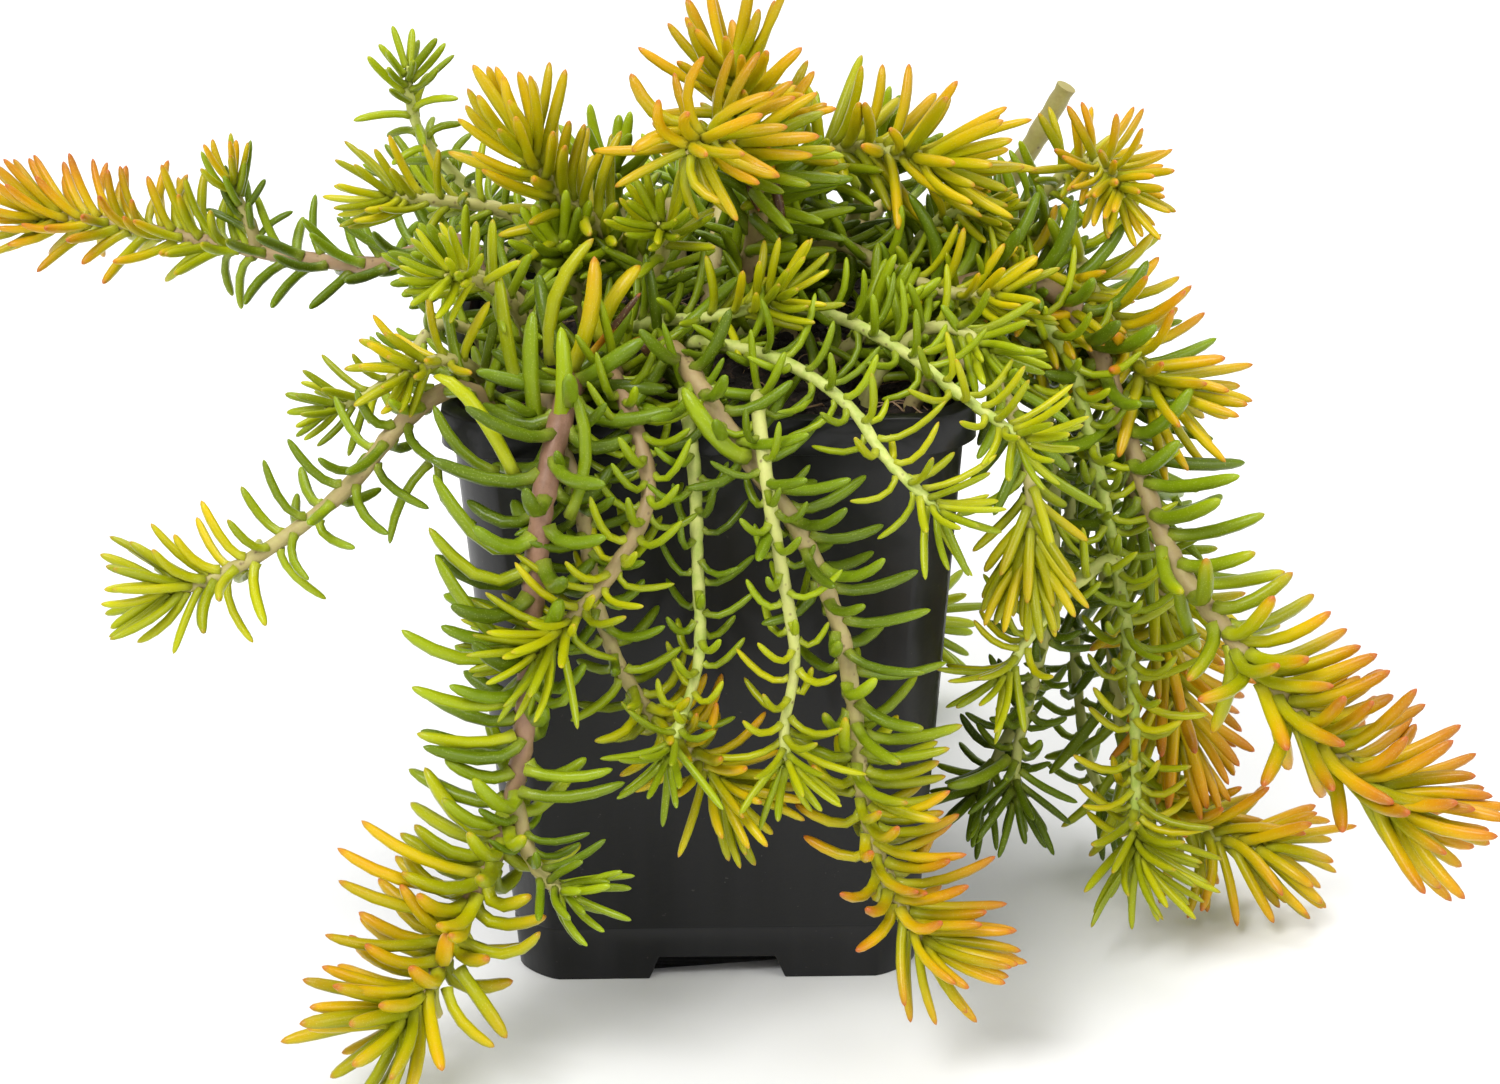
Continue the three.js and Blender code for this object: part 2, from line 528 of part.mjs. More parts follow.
// Every leaf of a stem in the order it grew, each with draws of its own
function growLeaves(stem) {
  const { growth, draws } = stem;
  const leaves = [];
  if (!growth.length) return leaves;
  let distance = stem.joins ? stem.growth.foot + 1.5 : ROOTING_DEPTH + BARE_FOOT;
  for (let number = 0; distance < stem.length - 0.3; number += 1) {
    const head = headShare(stem, distance);
    const tipMost = clamp01((stem.length - distance) / habit.last.reach);
    leaves.push({
      number,
      distance,
      head,
      angle: number * GOLDEN_ANGLE + draws.between(-habit.turn, habit.turn),
      length: growth.length * draws.between(...habit.length) * mix(1, habit.head.length, head)
        * mix(habit.last.length, 1, tipMost),
      width: growth.width * draws.between(...habit.width) * mix(1, habit.head.width, head),
      lean: THREE.MathUtils.degToRad(draws.between(...habit.lean) + habit.head.lean * head
        + habit.last.lean * (1 - tipMost)),
      curl: draws.between(...habit.curl),
    });
    distance += growth.spacing * mix(1, habit.bushSpacing, bushShare(stem, distance))
      * mix(1, habit.head.spacing, head);
  }
  return leaves;
}

// The line that a leaf follows from its root: out of the stem, then turning to the tip and the light
function leafLine(stem, leaf, root, angle, scale) {
  const { tangent, side } = placeOn(stem, leaf.distance);
  const across = new THREE.Vector3().crossVectors(tangent, side);
  const outward = side.clone().multiplyScalar(Math.cos(angle)).addScaledVector(across, Math.sin(angle));
  const first = outward.clone().multiplyScalar(Math.cos(leaf.lean));
  first.addScaledVector(tangent, Math.sin(leaf.lean)).addScaledVector(stem.sweep, habit.sweptFirst);
  first.normalize();
  const second = outward.clone().multiplyScalar(mix(...habit.outward, leaf.head));
  second.addScaledVector(tangent, mix(...habit.along, leaf.head)).add(stem.sweep);
  second.z += stem.growth.lift * leaf.curl * mix(1, habit.head.lift, leaf.head);
  second.addScaledVector(outward, Math.max(0, habit.leastOutward - second.dot(outward)));
  second.normalize();
  const length = leaf.length * scale;
  const bend = root.clone().addScaledVector(first, length * habit.bendShare);
  const tip = bend.clone().addScaledVector(second, length * (1 - habit.bendShare));
  return new THREE.QuadraticBezierCurve3(root, bend, tip);
}

// Least distance between two straight stretches
function distanceApart(a, b, c, d) {
  const u = b.clone().sub(a);
  const v = d.clone().sub(c);
  const w = a.clone().sub(c);
  const uu = u.dot(u);
  const uv = u.dot(v);
  const vv = v.dot(v);
  const uw = u.dot(w);
  const vw = v.dot(w);
  const spread = uu * vv - uv * uv;
  let s = spread > 1e-9 ? clamp01((uv * vw - vv * uw) / spread) : 0;
  const t = clamp01((uv * s + vw) / Math.max(vv, 1e-9));
  s = clamp01((uv * t - uw) / Math.max(uu, 1e-9));
  return w.addScaledVector(u, s).addScaledVector(v, -t).length();
}

// Everything that is already in place, as round-ended bars
const placed = [];

function addBar(node, from, to, radius, stem, distance) {
  const box = new THREE.Box3().setFromPoints([from, to]).expandByScalar(radius + GAP);
  placed.push({ node, from, to, radius, stem, distance, box });
}

function pointIsFree(point, radius) {
  const room = radius + GAP;
  const reach = Math.max(Math.abs(point.x), Math.abs(point.y));
  if (point.z < room) return false;
  if (reach > potHalfWidth(point.z) + room || point.z > POT_HEIGHT + room) return true;
  const inside = reach < cavityHalfWidth(point.z) - room;
  return inside && point.z > soilLevel(point.x, point.y) + room + SOIL_ROOM;
}

// A leaf as two bars, from its root or a little way out of it
function barsOf(line, radius, start = 0) {
  const waist = line.getPoint(FULLEST_PART);
  return [[line.getPoint(start), waist, radius], [waist, line.v2, radius * 0.75]];
}

function lineIsFree(node, stem, leaf, line, radius) {
  for (let t = 0.2; t <= 1.001; t += 0.16) {
    if (!pointIsFree(line.getPoint(t), radius)) return false;
  }
  const bars = barsOf(line, radius);
  const freeBars = barsOf(line, radius, OWN_ROOT_SHARE);
  const reach = new THREE.Box3().setFromPoints([line.v0, line.v1, line.v2]).expandByScalar(radius);
  for (const other of placed) {
    if (!reach.intersectsBox(other.box)) continue;
    const own = other.node === node;
    if (own && other.stem === stem && Math.abs(other.distance - leaf.distance) < OWN_STEM_REACH) continue;
    for (const [from, to, thick] of own ? freeBars : bars) {
      const room = own ? OWN_LEAF_SHARE * (thick + other.radius) : thick + other.radius + GAP;
      if (distanceApart(from, to, other.from, other.to) < room) return false;
    }
  }
  return true;
}

// The nodes that a stem is made of: one body, or a green one and its golden head
function stretchesOf(stem) {
  const node = `stem_${stem.joins ?? stem.name}`;
  if (!stem.gold) return [{ stem, node, finish: stem.finish, from: 0, to: stem.length, bud: true }];
  const cut = stem.length - stem.gold;
  return [
    { stem, node, finish: stem.finish, from: 0, to: cut - GAP / 2 },
    { stem, node: `head_${stem.name}`, finish: 'gold', from: cut + GAP / 2, to: stem.length, bud: true },
  ];
}

// Levels of a stretch's rings. A collar is a short band that a few leaves are raised from.
function layRings(stretch, leaves) {
  const last = stretch.to - (stretch.bud ? BUD : 0);
  const rings = [stretch.from];
  const collars = [];
  const top = () => rings[rings.length - 1];
  const runTo = (level) => {
    const start = top();
    const pieces = Math.ceil((level - start) / LONGEST_RUN);
    for (let i = 1; i <= pieces; i += 1) rings.push(mix(start, level, i / pieces));
  };
  let collar = null;
  for (const leaf of leaves) {
    const full = !collar || collar.leaves.length === COLLAR_LEAVES || leaf.distance > top() + COLLAR_REACH;
    if (full) {
      const low = Math.min(leaf.distance, last - COLLAR);
      if (low > top() + COLLAR * 0.5) runTo(low);
      if (top() > last - COLLAR * 0.6) break;
      collar = { ring: rings.length - 1, leaves: [] };
      collars.push(collar);
      rings.push(Math.min(top() + COLLAR, last));
    }
    collar.leaves.push(leaf);
  }
  if (last - top() > 0.5) runTo(last);
  Object.assign(stretch, { rings, collars });
}

// The tube of a stretch: its corners and its faces, with the collars' faces still to choose from
function layTube(stretch) {
  const { stem, rings, node } = stretch;
  const corners = [];
  const faces = [];
  const corner = (ring, side) => ring * STEM_SIDES + (side % STEM_SIDES);
  rings.forEach((distance, ring) => {
    const { point, tangent, side, radius } = placeOn(stem, distance);
    const across = new THREE.Vector3().crossVectors(tangent, side);
    for (let i = 0; i < STEM_SIDES; i += 1) {
      const angle = (i * 2 * Math.PI) / STEM_SIDES;
      corners.push(point.clone().addScaledVector(side, Math.cos(angle) * radius * STEM_FULLNESS)
        .addScaledVector(across, Math.sin(angle) * radius * STEM_FULLNESS));
    }
    if (ring > 0) {
      addBar(node, placeOn(stem, rings[ring - 1]).point, point, radius * STEM_FULLNESS, stem, distance);
    }
  });
  for (let ring = 1; ring < rings.length; ring += 1) {
    const collar = stretch.collars.find((c) => c.ring === ring - 1);
    const angle = (i) => ((i + 0.5) * 2 * Math.PI) / STEM_SIDES;
    for (let i = 0; i < STEM_SIDES; i += 1) {
      const low = [corner(ring - 1, i), corner(ring - 1, i + 1), corner(ring, i + 1)];
      const high = [corner(ring - 1, i), corner(ring, i + 1), corner(ring, i)];
      faces.push({ trio: low, collar, angle: angle(i + 0.2) }, { trio: high, collar, angle: angle(i - 0.2) });
    }
  }
  for (let i = 2; i < STEM_SIDES; i += 1) {
    faces.push({ trio: [corner(0, 0), corner(0, i), corner(0, i - 1)] });
  }
  const top = rings.length - 1;
  if (stretch.bud) {
    corners.push(placeOn(stem, stretch.to).point);
    for (let i = 0; i < STEM_SIDES; i += 1) {
      faces.push({ trio: [corner(top, i), corner(top, i + 1), corners.length - 1] });
    }
  } else {
    for (let i = 2; i < STEM_SIDES; i += 1) {
      faces.push({ trio: [corner(top, 0), corner(top, i - 1), corner(top, i)] });
    }
  }
  Object.assign(stretch, { corners, faces });
}

// Raises a leaf from one face of the tube: a three-sided needle, fullest past its middle
function raiseLeaf(stretch, face, line, radius) {
  const { corners, faces } = stretch;
  const plane = line.v1.clone().sub(line.v0).cross(line.v2.clone().sub(line.v1));
  if (plane.length() < 0.05) plane.set(line.v0.y - line.v1.y, line.v1.x - line.v0.x, 0.3);
  const out = line.getTangent(0);
  plane.addScaledVector(out, -plane.dot(out)).normalize();
  const rise = out.clone().cross(plane);
  const turns = face.trio.map((c) => {
    const arm = corners[c].clone().sub(line.v0);
    return Math.atan2(arm.dot(rise), arm.dot(plane));
  });
  const third = (2 * Math.PI) / LEAF_SIDES;
  const unwound = turns.map((turn, i) => {
    const wholeTurns = i === 0 ? 0 : Math.ceil((turns[0] - turn) / (2 * Math.PI));
    return turn + 2 * Math.PI * wholeTurns - i * third;
  });
  const phase = unwound.reduce((sum, turn) => sum + turn, 0) / LEAF_SIDES;
  const waist = line.getPoint(FULLEST_PART);
  const side = line.getTangent(FULLEST_PART).cross(plane);
  const first = corners.length;
  for (let i = 0; i < LEAF_SIDES; i += 1) {
    const angle = phase + i * third;
    corners.push(waist.clone().addScaledVector(plane, Math.cos(angle) * radius)
      .addScaledVector(side, Math.sin(angle) * radius));
  }
  const tip = corners.push(line.v2.clone()) - 1;
  for (let i = 0; i < LEAF_SIDES; i += 1) {
    const next = (i + 1) % LEAF_SIDES;
    faces.push({ trio: [face.trio[i], face.trio[next], first + next] });
    faces.push({ trio: [face.trio[i], first + next, first + i] });
    faces.push({ trio: [first + i, first + next, tip] });
  }
  faces.splice(faces.indexOf(face), 1);
}

// Tries the free faces of a leaf's collar, the nearest first, then a shorter leaf, or gives it up
function settleLeaf(stretch, collar, leaf) {
  const radius = leaf.width * LEAF_FULLNESS;
  const away = (face) => 1 - Math.cos(face.angle - leaf.angle);
  const free = stretch.faces.filter((face) => face.collar === collar);
  free.sort((a, b) => away(a) - away(b));
  for (const scale of SHORTER_LEAVES) {
    for (const face of free.slice(0, FACES_TRIED)) {
      const root = new THREE.Vector3();
      for (const c of face.trio) root.addScaledVector(stretch.corners[c], 1 / 3);
      const line = leafLine(stretch.stem, leaf, root, face.angle, scale);
      if (lineIsFree(stretch.node, stretch.stem, leaf, line, radius)) {
        raiseLeaf(stretch, face, line, radius);
        return { line, radius };
      }
    }
  }
  return null;
}

function skinSolid({ corners, faces }) {
  const skin = new THREE.BufferGeometry();
  skin.setAttribute('position', new THREE.Float32BufferAttribute(corners.flatMap((c) => c.toArray()), 3));
  skin.setIndex(faces.flatMap((face) => face.trio));
  return toSolid(skin);
}

function makeStems(laid) {
  const stretches = laid.flatMap(stretchesOf);
  for (const stretch of stretches) {
    const { stem, from, to } = stretch;
    const kept = growLeaves(stem).filter((leaf) => LEAVES_KEPT.includes(leaf.number % LEAF_CYCLE)
      && leaf.distance > from + (from ? 1 : 0) && leaf.distance < to - (stretch.bud ? 0 : 1.5));
    layRings(stretch, kept);
    layTube(stretch);
  }
  for (const stretch of stretches) {
    for (const collar of stretch.collars) {
      for (const leaf of collar.leaves) {
        const settled = settleLeaf(stretch, collar, leaf);
        if (!settled) continue;
        for (const [from, to, radius] of barsOf(settled.line, settled.radius)) {
          addBar(stretch.node, from, to, radius, null, 0);
        }
      }
    }
  }
  const nodes = new Map();
  for (const stretch of stretches) {
    const solid = skinSolid(stretch);
    const held = nodes.get(stretch.node);
    nodes.set(stretch.node, { finish: stretch.finish, solid: held ? held.solid.add(solid) : solid });
  }
  return [...nodes].map(([name, { solid, finish }]) => toMesh(name, solid, finish));
}

const laid = stems.map(layStem);
bendClear(laid);
laid.forEach(settle);

const plant = new THREE.Group();
plant.name = 'potted_stonecrop';
plant.add(makePot(), makeSoil(laid), ...makeStems(laid));

export default plant;
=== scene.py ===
import math

import bmesh
import bpy
import numpy as np
from mathutils import Matrix, Vector


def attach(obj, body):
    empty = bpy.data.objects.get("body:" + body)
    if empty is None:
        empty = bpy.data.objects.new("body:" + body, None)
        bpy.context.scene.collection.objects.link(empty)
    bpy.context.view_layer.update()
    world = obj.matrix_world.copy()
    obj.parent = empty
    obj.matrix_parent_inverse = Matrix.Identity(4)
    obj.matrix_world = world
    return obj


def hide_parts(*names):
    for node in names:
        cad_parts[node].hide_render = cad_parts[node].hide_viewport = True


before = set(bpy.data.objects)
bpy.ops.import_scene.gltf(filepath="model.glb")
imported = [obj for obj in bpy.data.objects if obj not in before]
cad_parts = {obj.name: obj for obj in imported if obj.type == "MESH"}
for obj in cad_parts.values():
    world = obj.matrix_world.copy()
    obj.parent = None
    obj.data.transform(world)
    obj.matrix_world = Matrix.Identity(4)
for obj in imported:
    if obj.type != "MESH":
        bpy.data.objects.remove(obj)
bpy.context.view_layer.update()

bl_info = {
    "name": "Potted stonecrop",
    "version": (1, 0, 0),
    "blender": (4, 5, 0),
    "location": "3D View > Sidebar > Stonecrop",
    "description": "A trailing golden stonecrop with fleshy needle leaves in a square nursery pot",
    "category": "Object",
}

MM = 0.001
GOLDEN_ANGLE = math.radians(137.508)

# The pot, in millimetres
POT_HEIGHT = 110.0
RIM_WIDTH = 90.0
RIM_BAND = 6.5
BODY_TOP_WIDTH = 86.0
FOOT_WIDTH = 70.0
CORNER_RADIUS = 7.0
CORNER_PROFILE = 0.37
WALL = 1.2
FLOOR_UNDERSIDE = 4.6
FLOOR_THICKNESS = 1.4
SEAM_HEIGHT = 10.4
SEAM_WIDTH = 0.8
SEAM_DEPTH = 0.2
NOTCH_WIDTH = 25.5
NOTCH_TOP_WIDTH = 20.5
NOTCH_HEIGHT = 4.4
DRAIN_RADIUS = 4.0
DRAIN_OFFSET = 17.0

# The soil, with its crumbs as waves along X, across Y and aslant, in radians a millimetre
SOIL_EDGE_LEVEL = 103.5
SOIL_MOUND = 3.0
SOIL_RELIEF = 0.42
CRUMBS_ALONG = 0.55
CRUMBS_ACROSS = 0.48
CRUMBS_ASLANT = (1.1, -0.9)
CRUMBS_START = 1.3
ASLANT_SHARE = 0.6
SOIL_ROUGHNESS = 0.35
SOIL_CUTS = 90
SKIRT = 20.0
ROOTING_DEPTH = 8.0

# The loose crumbs and the fine roots: how large they are and how they lie
CRUMB_SIZE = (0.35, 1.25)
CRUMB_SUNK = 0.2
CORNER_KEPT_FREE = 5.0
FIBRE_STEPS = 7
FIBRE_LENGTH = (3, 13)
FIBRE_RADIUS = (0.07, 0.24)
FIBRE_ABOVE = 0.4
FIBRE_ENDS_SUNK = 0.6

# Room between pieces, in millimetres
GAP = 0.3
STEM_ROOM = 1.4
POT_ROOM = 1.4
GROUND_ROOM = 2.0
SEARCH_ROOM = 2.0

# How a stem's line is laid and bent clear
BEAD_STEP = 3.0
CURVE_STEPS = 20
BARE_FOOT = 3.0
BEND_ROUNDS = 60
EASED_FROM_BEAD = 5
EASED_SHARE = 0.4

# A stem's tube: the length of its rings, how much it tapers over its end, how slim a young stem is,
# how uneven it is, and how its look of age falls along it
RING_LENGTH = 1.5
TAPER_OVER = 5.0
TAPER = 0.75
YOUNG_WIDTH = 0.82
UNEVEN = (0.9, 1.12)
AGE_AT_FOOT = 1.1
AGE_LOST = 0.5
BARK_AGE = 0.36
BARK_TONE = 0.6

# The camera, found from the pot's edges, with its focal length in the photograph's pixels
PHOTO_WIDTH = 1500
FOCAL_LENGTH = 5055
SENSOR_WIDTH = 36
CAMERA_TARGET = (6.7, 0, 68.9)
CAMERA_AWAY = 900
CAMERA_DOWN = 23
CAMERA_ROLL = -0.7

# How a kind of stem grows: radius at the foot and tip, its leaves' length and width, how far apart
# they stand, how strongly they turn up to the light, and how long its bushy upper part is
GROWTHS = {
    "thick": dict(foot=2.2, tip=1.5, length=19.5, width=2.9, spacing=2.0, lift=0.35, bush=50),
    "golden": dict(foot=2.0, tip=1.3, length=17.0, width=2.25, spacing=1.9, lift=0.35, bush=45),
    "green": dict(foot=1.8, tip=1.2, length=14, width=2.0, spacing=1.7, lift=0.35, bush=24),
    "fine": dict(foot=1.6, tip=1.0, length=13.5, width=1.5, spacing=1.75, lift=1.3, bush=14),
    "slender": dict(foot=1.7, tip=1.1, length=15, width=1.65, spacing=1.3, lift=0.9, bush=22),
    "dark": dict(foot=1.6, tip=1.1, length=12, width=1.7, spacing=1.8, lift=0.8, bush=16),
    "short": dict(foot=1.6, tip=1.1, length=12, width=1.7, spacing=1.6, lift=0.6, bush=14),
    "plump": dict(foot=1.6, tip=1.1, length=12.5, width=2.3, spacing=1.8, lift=0.4, bush=14),
    "small": dict(foot=1.4, tip=1.0, length=9.5, width=1.6, spacing=1.5, lift=0.45, bush=12),
    "bare": dict(foot=2.2, tip=1.9, length=0, width=0, spacing=2, lift=0, bush=0),
}

# How warm a stem's leaves are at its foot, from 0 for grass green to 1 for orange brown
COOLEST = {"green": -0.03, "lime": 0.08, "dark": -0.1, "gold": 0.08, "orange": 0.05, "bark": 0.0}


def stem(name, growth, finish, path, foot=None, joins=None, gold=0, sweep=(0, 0, 0), glow=0.2, old=0.5,
         cool=None, ripe=0.0):
    """One stem: where it leaves the soil or joins another, and the points it then passes through.
    gold is its golden head's length, sweep the way its leaves lean, glow how warm they are near
    its tip, cool how warm near its foot, old how woody it is, and ripe how orange its leaves' ends are."""
    return dict(name=name, growth=growth, finish=finish, path=path, foot=foot, joins=joins, gold=gold,
                sweep=np.array(sweep, float), glow=glow, old=old, ripe=ripe,
                cool=COOLEST[finish] if cool is None else cool)


STEMS = [
    stem("front_left", "thick", "green", gold=40, foot=(-20, -30), sweep=(-0.6, 0, 0.35), glow=0.54,
         old=1.0, ripe=0.08,
         path=[(-24, -41, 114), (-26, -51, 110), (-28, -60, 98), (-30, -63, 78), (-32, -65, 58),
               (-36, -67, 43), (-42, -70, 32), (-48, -75, 22), (-54, -82, 16)]),
    stem("front_left_side", "short", "green", joins="front_left", glow=0.22, sweep=(0.3, 0, 0),
         path=[(-33, -66, 51), (-31, -69, 42), (-27, -73, 38), (-23, -77, 38)]),
    stem("front_lime", "slender", "lime", foot=(-13, -25), glow=0.37, old=0.8, cool=0.16,
         path=[(-16, -38, 116), (-12, -50, 111), (-10, -57, 101), (-16, -61, 90), (-23, -64, 83),
               (-30, -67, 77)]),
    stem("front_thin", "fine", "green", foot=(-4, -32), glow=0.28, old=0.1,
         path=[(-3, -42, 114), (-2, -51, 107), (-2, -55, 89), (-2, -58, 73), (-5, -63, 64),
               (-8, -69, 58)]),
    stem("front_pale", "fine", "lime", foot=(10, -33), glow=0.38, old=0.2,
         path=[(8, -46, 114), (9, -57, 106), (12, -61, 89), (14, -62, 74), (12, -64, 62), (13, -67, 55)]),
    stem("front_right", "golden", "green", gold=34, foot=(-9, -17), sweep=(0.95, 0, 0.1),
         glow=0.62, old=0.62, ripe=0.2,
         path=[(-7, -33, 118), (-2, -46, 114), (6, -54, 107), (15, -58, 95), (21, -60, 80), (24, -61, 63),
               (25, -62, 50), (28, -65, 38), (33, -69, 28), (38, -72, 24)]),
    stem("front_low", "green", "green", gold=16, foot=(-29, -23), glow=0.56, old=0.65,
         path=[(-25, -43, 114), (-21, -53, 101), (-19, -56, 82), (-13, -57, 66), (-3, -58, 55),
               (4, -61, 47.5)]),
    stem("rim_lime", "fine", "lime", foot=(-2, -14), glow=0.36, old=0.1,
         path=[(-3, -27, 119), (7, -36, 120), (16, -43, 118), (24, -51, 114), (29, -57, 108),
               (35, -61, 103), (39, -64, 100)]),
    stem("rim_right", "fine", "lime", foot=(5, -6), glow=0.37, old=0.1,
         path=[(12, -18, 120), (23, -27, 121), (33, -35, 118), (41, -45, 115), (48, -52, 112),
               (53, -57, 110)]),
    stem("middle_shoot", "short", "lime", foot=(-20, -14), glow=0.42, old=0.1,
         path=[(-12, -24, 118), (-2, -28, 120), (6, -31, 123), (13, -35, 128)]),
    stem("top_gold", "golden", "green", gold=26, sweep=(0.15, 0, 0.2), foot=(8, 9), glow=0.56, old=0.5,
         path=[(11, 6, 121), (11, 0, 136), (8, -5, 147), (5, -9, 157), (4, -10, 161.5)]),
    stem("top_front", "golden", "gold", foot=(2, 1), sweep=(1.7, 0, 0.2), glow=0.62, old=0.7,
         path=[(7, -4, 123), (9, -12, 138), (6, -20, 150), (1, -28, 154), (-3, -33, 153)]),
    stem("top_right", "golden", "green", gold=20, sweep=(0.5, 0, 0.1), foot=(16, 13), glow=0.54, old=0.3,
         path=[(14, 11, 121), (17, 10, 133), (23, 8, 140), (30, 3, 141), (37, -3, 141.5),
               (41.5, -6, 141)]),
    stem("right_rosette", "short", "green", gold=14, foot=(34, 30), glow=0.6, old=0.4,
         path=[(46, 27, 113), (57, 21, 123), (64, 15, 133), (69, 6, 137), (72, -3, 134)]),
    stem("old_stalk", "bare", "bark", foot=(36, 35), old=0.75,
         path=[(46, 36, 114), (55, 33, 126), (64, 31, 143)]),
    stem("right_small", "small", "lime", foot=(27, 4), glow=0.44, old=0.15,
         path=[(33, 7, 116), (38, 6, 125), (44, 2, 130), (50, -2, 130)]),
    stem("right_middle", "short", "lime", foot=(14, 3), glow=0.46, old=0.5,
         path=[(15, 4, 119), (22, 0, 125), (31, -7, 123), (41, -14, 121), (51, -19, 122)]),
    stem("right_fan", "golden", "gold", foot=(30, 13), sweep=(0.1, 0, -0.35), glow=0.55, old=0.5,
         path=[(38, 14, 115), (47, 10, 119), (56, 2, 116), (63, -5, 111)]),
    stem("right_gold", "golden", "green", gold=24, foot=(37, 10), glow=0.58, old=0.35, ripe=0.12,
         path=[(46, 11, 118), (57, 10, 123), (64, 5, 120), (68, -2, 114), (73, -8, 107), (77, -12, 103),
               (81, -13, 101)]),
    stem("left_lime", "short", "lime", foot=(-20, 12), glow=0.44, old=0.45,
         path=[(-26, 12, 120), (-35, 10, 128), (-44, 7, 131), (-52, 4, 133), (-57, 3, 134)]),
    stem("left_upright", "small", "green", foot=(-28, 24), glow=0.26, old=0.2, sweep=(0, 0, -0.6),
         path=[(-34, 24, 119), (-43, 22, 129), (-50, 19, 139), (-52, 17, 147), (-52, 16, 153)]),
    stem("left_gold", "golden", "green", gold=20, sweep=(-0.1, 0, 0.3), foot=(-9, -5), glow=0.5, old=0.5,
         path=[(-10, -4, 121), (-18, -8, 131), (-24, -10, 137), (-29, -12, 144), (-31, -13, 149.5)]),
    stem("middle_rosette", "short", "lime", foot=(-14, -6), glow=0.36, old=0.5,
         path=[(-10, -12, 121), (-7, -20, 133), (-8, -28, 139)]),
    stem("left_rosette", "short", "lime", foot=(-31, -13), glow=0.34, old=0.5,
         path=[(-31, -22, 118), (-34, -30, 127), (-39, -37, 133), (-43, -44, 136)]),
    stem("left_knot", "short", "lime", foot=(-37, -25), glow=0.48, old=0.5,
         path=[(-39, -34, 115), (-44, -41, 120), (-51, -48, 120)]),
    stem("left_short", "small", "lime", foot=(-37, -9), glow=0.34, old=0.4,
         path=[(-46, -15, 115), (-53, -19, 109), (-60, -21, 105), (-66, -22, 104)]),
    stem("left_low", "green", "lime", foot=(-35, -36), glow=0.42, old=0.62,
         path=[(-42, -41, 114), (-51, -45, 110), (-60, -47, 100), (-70, -48, 92), (-80, -49, 86),
               (-89, -50, 83), (-93, -50, 83)]),
    stem("far_left", "green", "green", gold=38, foot=(-37, 20), glow=0.6, old=0.8, sweep=(-0.15, 0, 0.4),
         ripe=0.14,
         path=[(-46, 27, 115), (-60, 36, 109), (-76, 44, 108), (-92, 50, 109), (-110, 55, 111),
               (-126, 58, 112)]),
    stem("far_left_side", "small", "green", joins="far_left", glow=0.56, old=0.5, sweep=(0, 0, 0.8),
         path=[(-83, 47, 108), (-84, 46, 114), (-86, 45, 119), (-87, 44, 124)]),
    stem("right_pale", "slender", "green", foot=(37, -9), glow=0.44, old=0.05, cool=0.24, sweep=(0.35, 0, 0),
         path=[(50, -10, 117), (61, -13, 110), (66, -18, 94), (70, -22, 75), (73, -24, 55), (74, -26, 38),
               (74, -29, 25), (75, -32, 19)]),
    stem("right_pale_side", "fine", "green", joins="right_pale", glow=0.42, old=0.1, cool=0.26,
         path=[(70, -22, 75), (63, -29, 73), (56, -34, 67), (49, -38, 58)]),
    stem("right_brown", "green", "orange", foot=(35, -27), sweep=(0.05, 0, -1.2), glow=0.56, old=0.5,
         path=[(44, -31, 114), (51, -36, 106), (54, -40, 95), (54, -42, 84), (54, -43, 79)]),
    stem("right_dark", "dark", "dark", foot=(37, -2), glow=0.06, old=0.2,
         path=[(48, -3, 114), (57, -5, 104), (60, -8, 84), (60, -9, 62), (57, -10, 46), (54, -11, 32),
               (54, -12, 22)]),
    stem("right_dark_side", "dark", "dark", joins="right_dark", glow=0.06, old=0.2,
         path=[(57, -10, 46), (54, -6, 36), (50, -4, 26), (46, -6, 19)]),
    stem("right_back", "dark", "dark", foot=(36, 19), glow=0.08, old=0.2,
         path=[(52, 17, 116), (61, 14, 101), (64, 13, 78), (65, 12, 52), (67, 12, 28), (70, 11, 15),
               (75, 10, 9)]),
    stem("right_orange", "golden", "orange", foot=(36, 4), sweep=(0.3, 0, -1.1), glow=0.76, old=0.75,
         ripe=0.12,
         path=[(48, 4, 114), (62, 5, 112), (71, 2, 98), (75, -1, 78), (79, -4, 60), (82, -7, 44),
               (84, -9, 32)]),
    stem("far_right", "thick", "green", gold=58, foot=(31, -6), sweep=(1.05, 0, 0.15), glow=0.64,
         old=0.7, ripe=0.28,
         path=[(46, -6, 118), (60, -6, 117), (68, -10, 106), (74, -18, 90), (80, -28, 76), (90, -38, 65),
               (100, -46, 55), (110, -52, 46), (119, -56, 40)]),
    stem("right_low", "golden", "green", gold=28, foot=(29, 22), sweep=(0.5, 0, -1.0), glow=0.6, old=0.3,
         ripe=0.14,
         path=[(48, 26, 114), (60, 24, 100), (69, 17, 74), (72, 8, 46), (75, -1, 25), (84, -8, 17),
               (94, -14, 14.5), (100, -16, 14.5)]),
    stem("right_bright", "short", "lime", foot=(27, -25), glow=0.3, old=0.3,
         path=[(35, -25, 117), (42, -29, 119), (48, -34, 115)]),
    stem("crown_left", "plump", "green", foot=(-30, 3),
         path=[(-34, 3, 115), (-40, 0, 120), (-47, -5, 123)]),
    stem("crown_middle", "plump", "green", foot=(-21, -2),
         path=[(-22, -5, 116), (-24, -9, 125), (-25, -14, 131)]),
    stem("crown_front", "plump", "green", foot=(18, -19),
         path=[(22, -20, 112), (27, -20, 116), (31, -18, 120)]),
    stem("crown_right", "plump", "green", foot=(22, 18),
         path=[(24, 21, 117), (28, 21, 128), (33, 19, 136)]),
    stem("crown_back", "plump", "green", foot=(-12, 18),
         path=[(-14, 22, 118), (-17, 24, 126), (-17, 22, 133)]),
    stem("back_left", "green", "green", foot=(-19, 36),
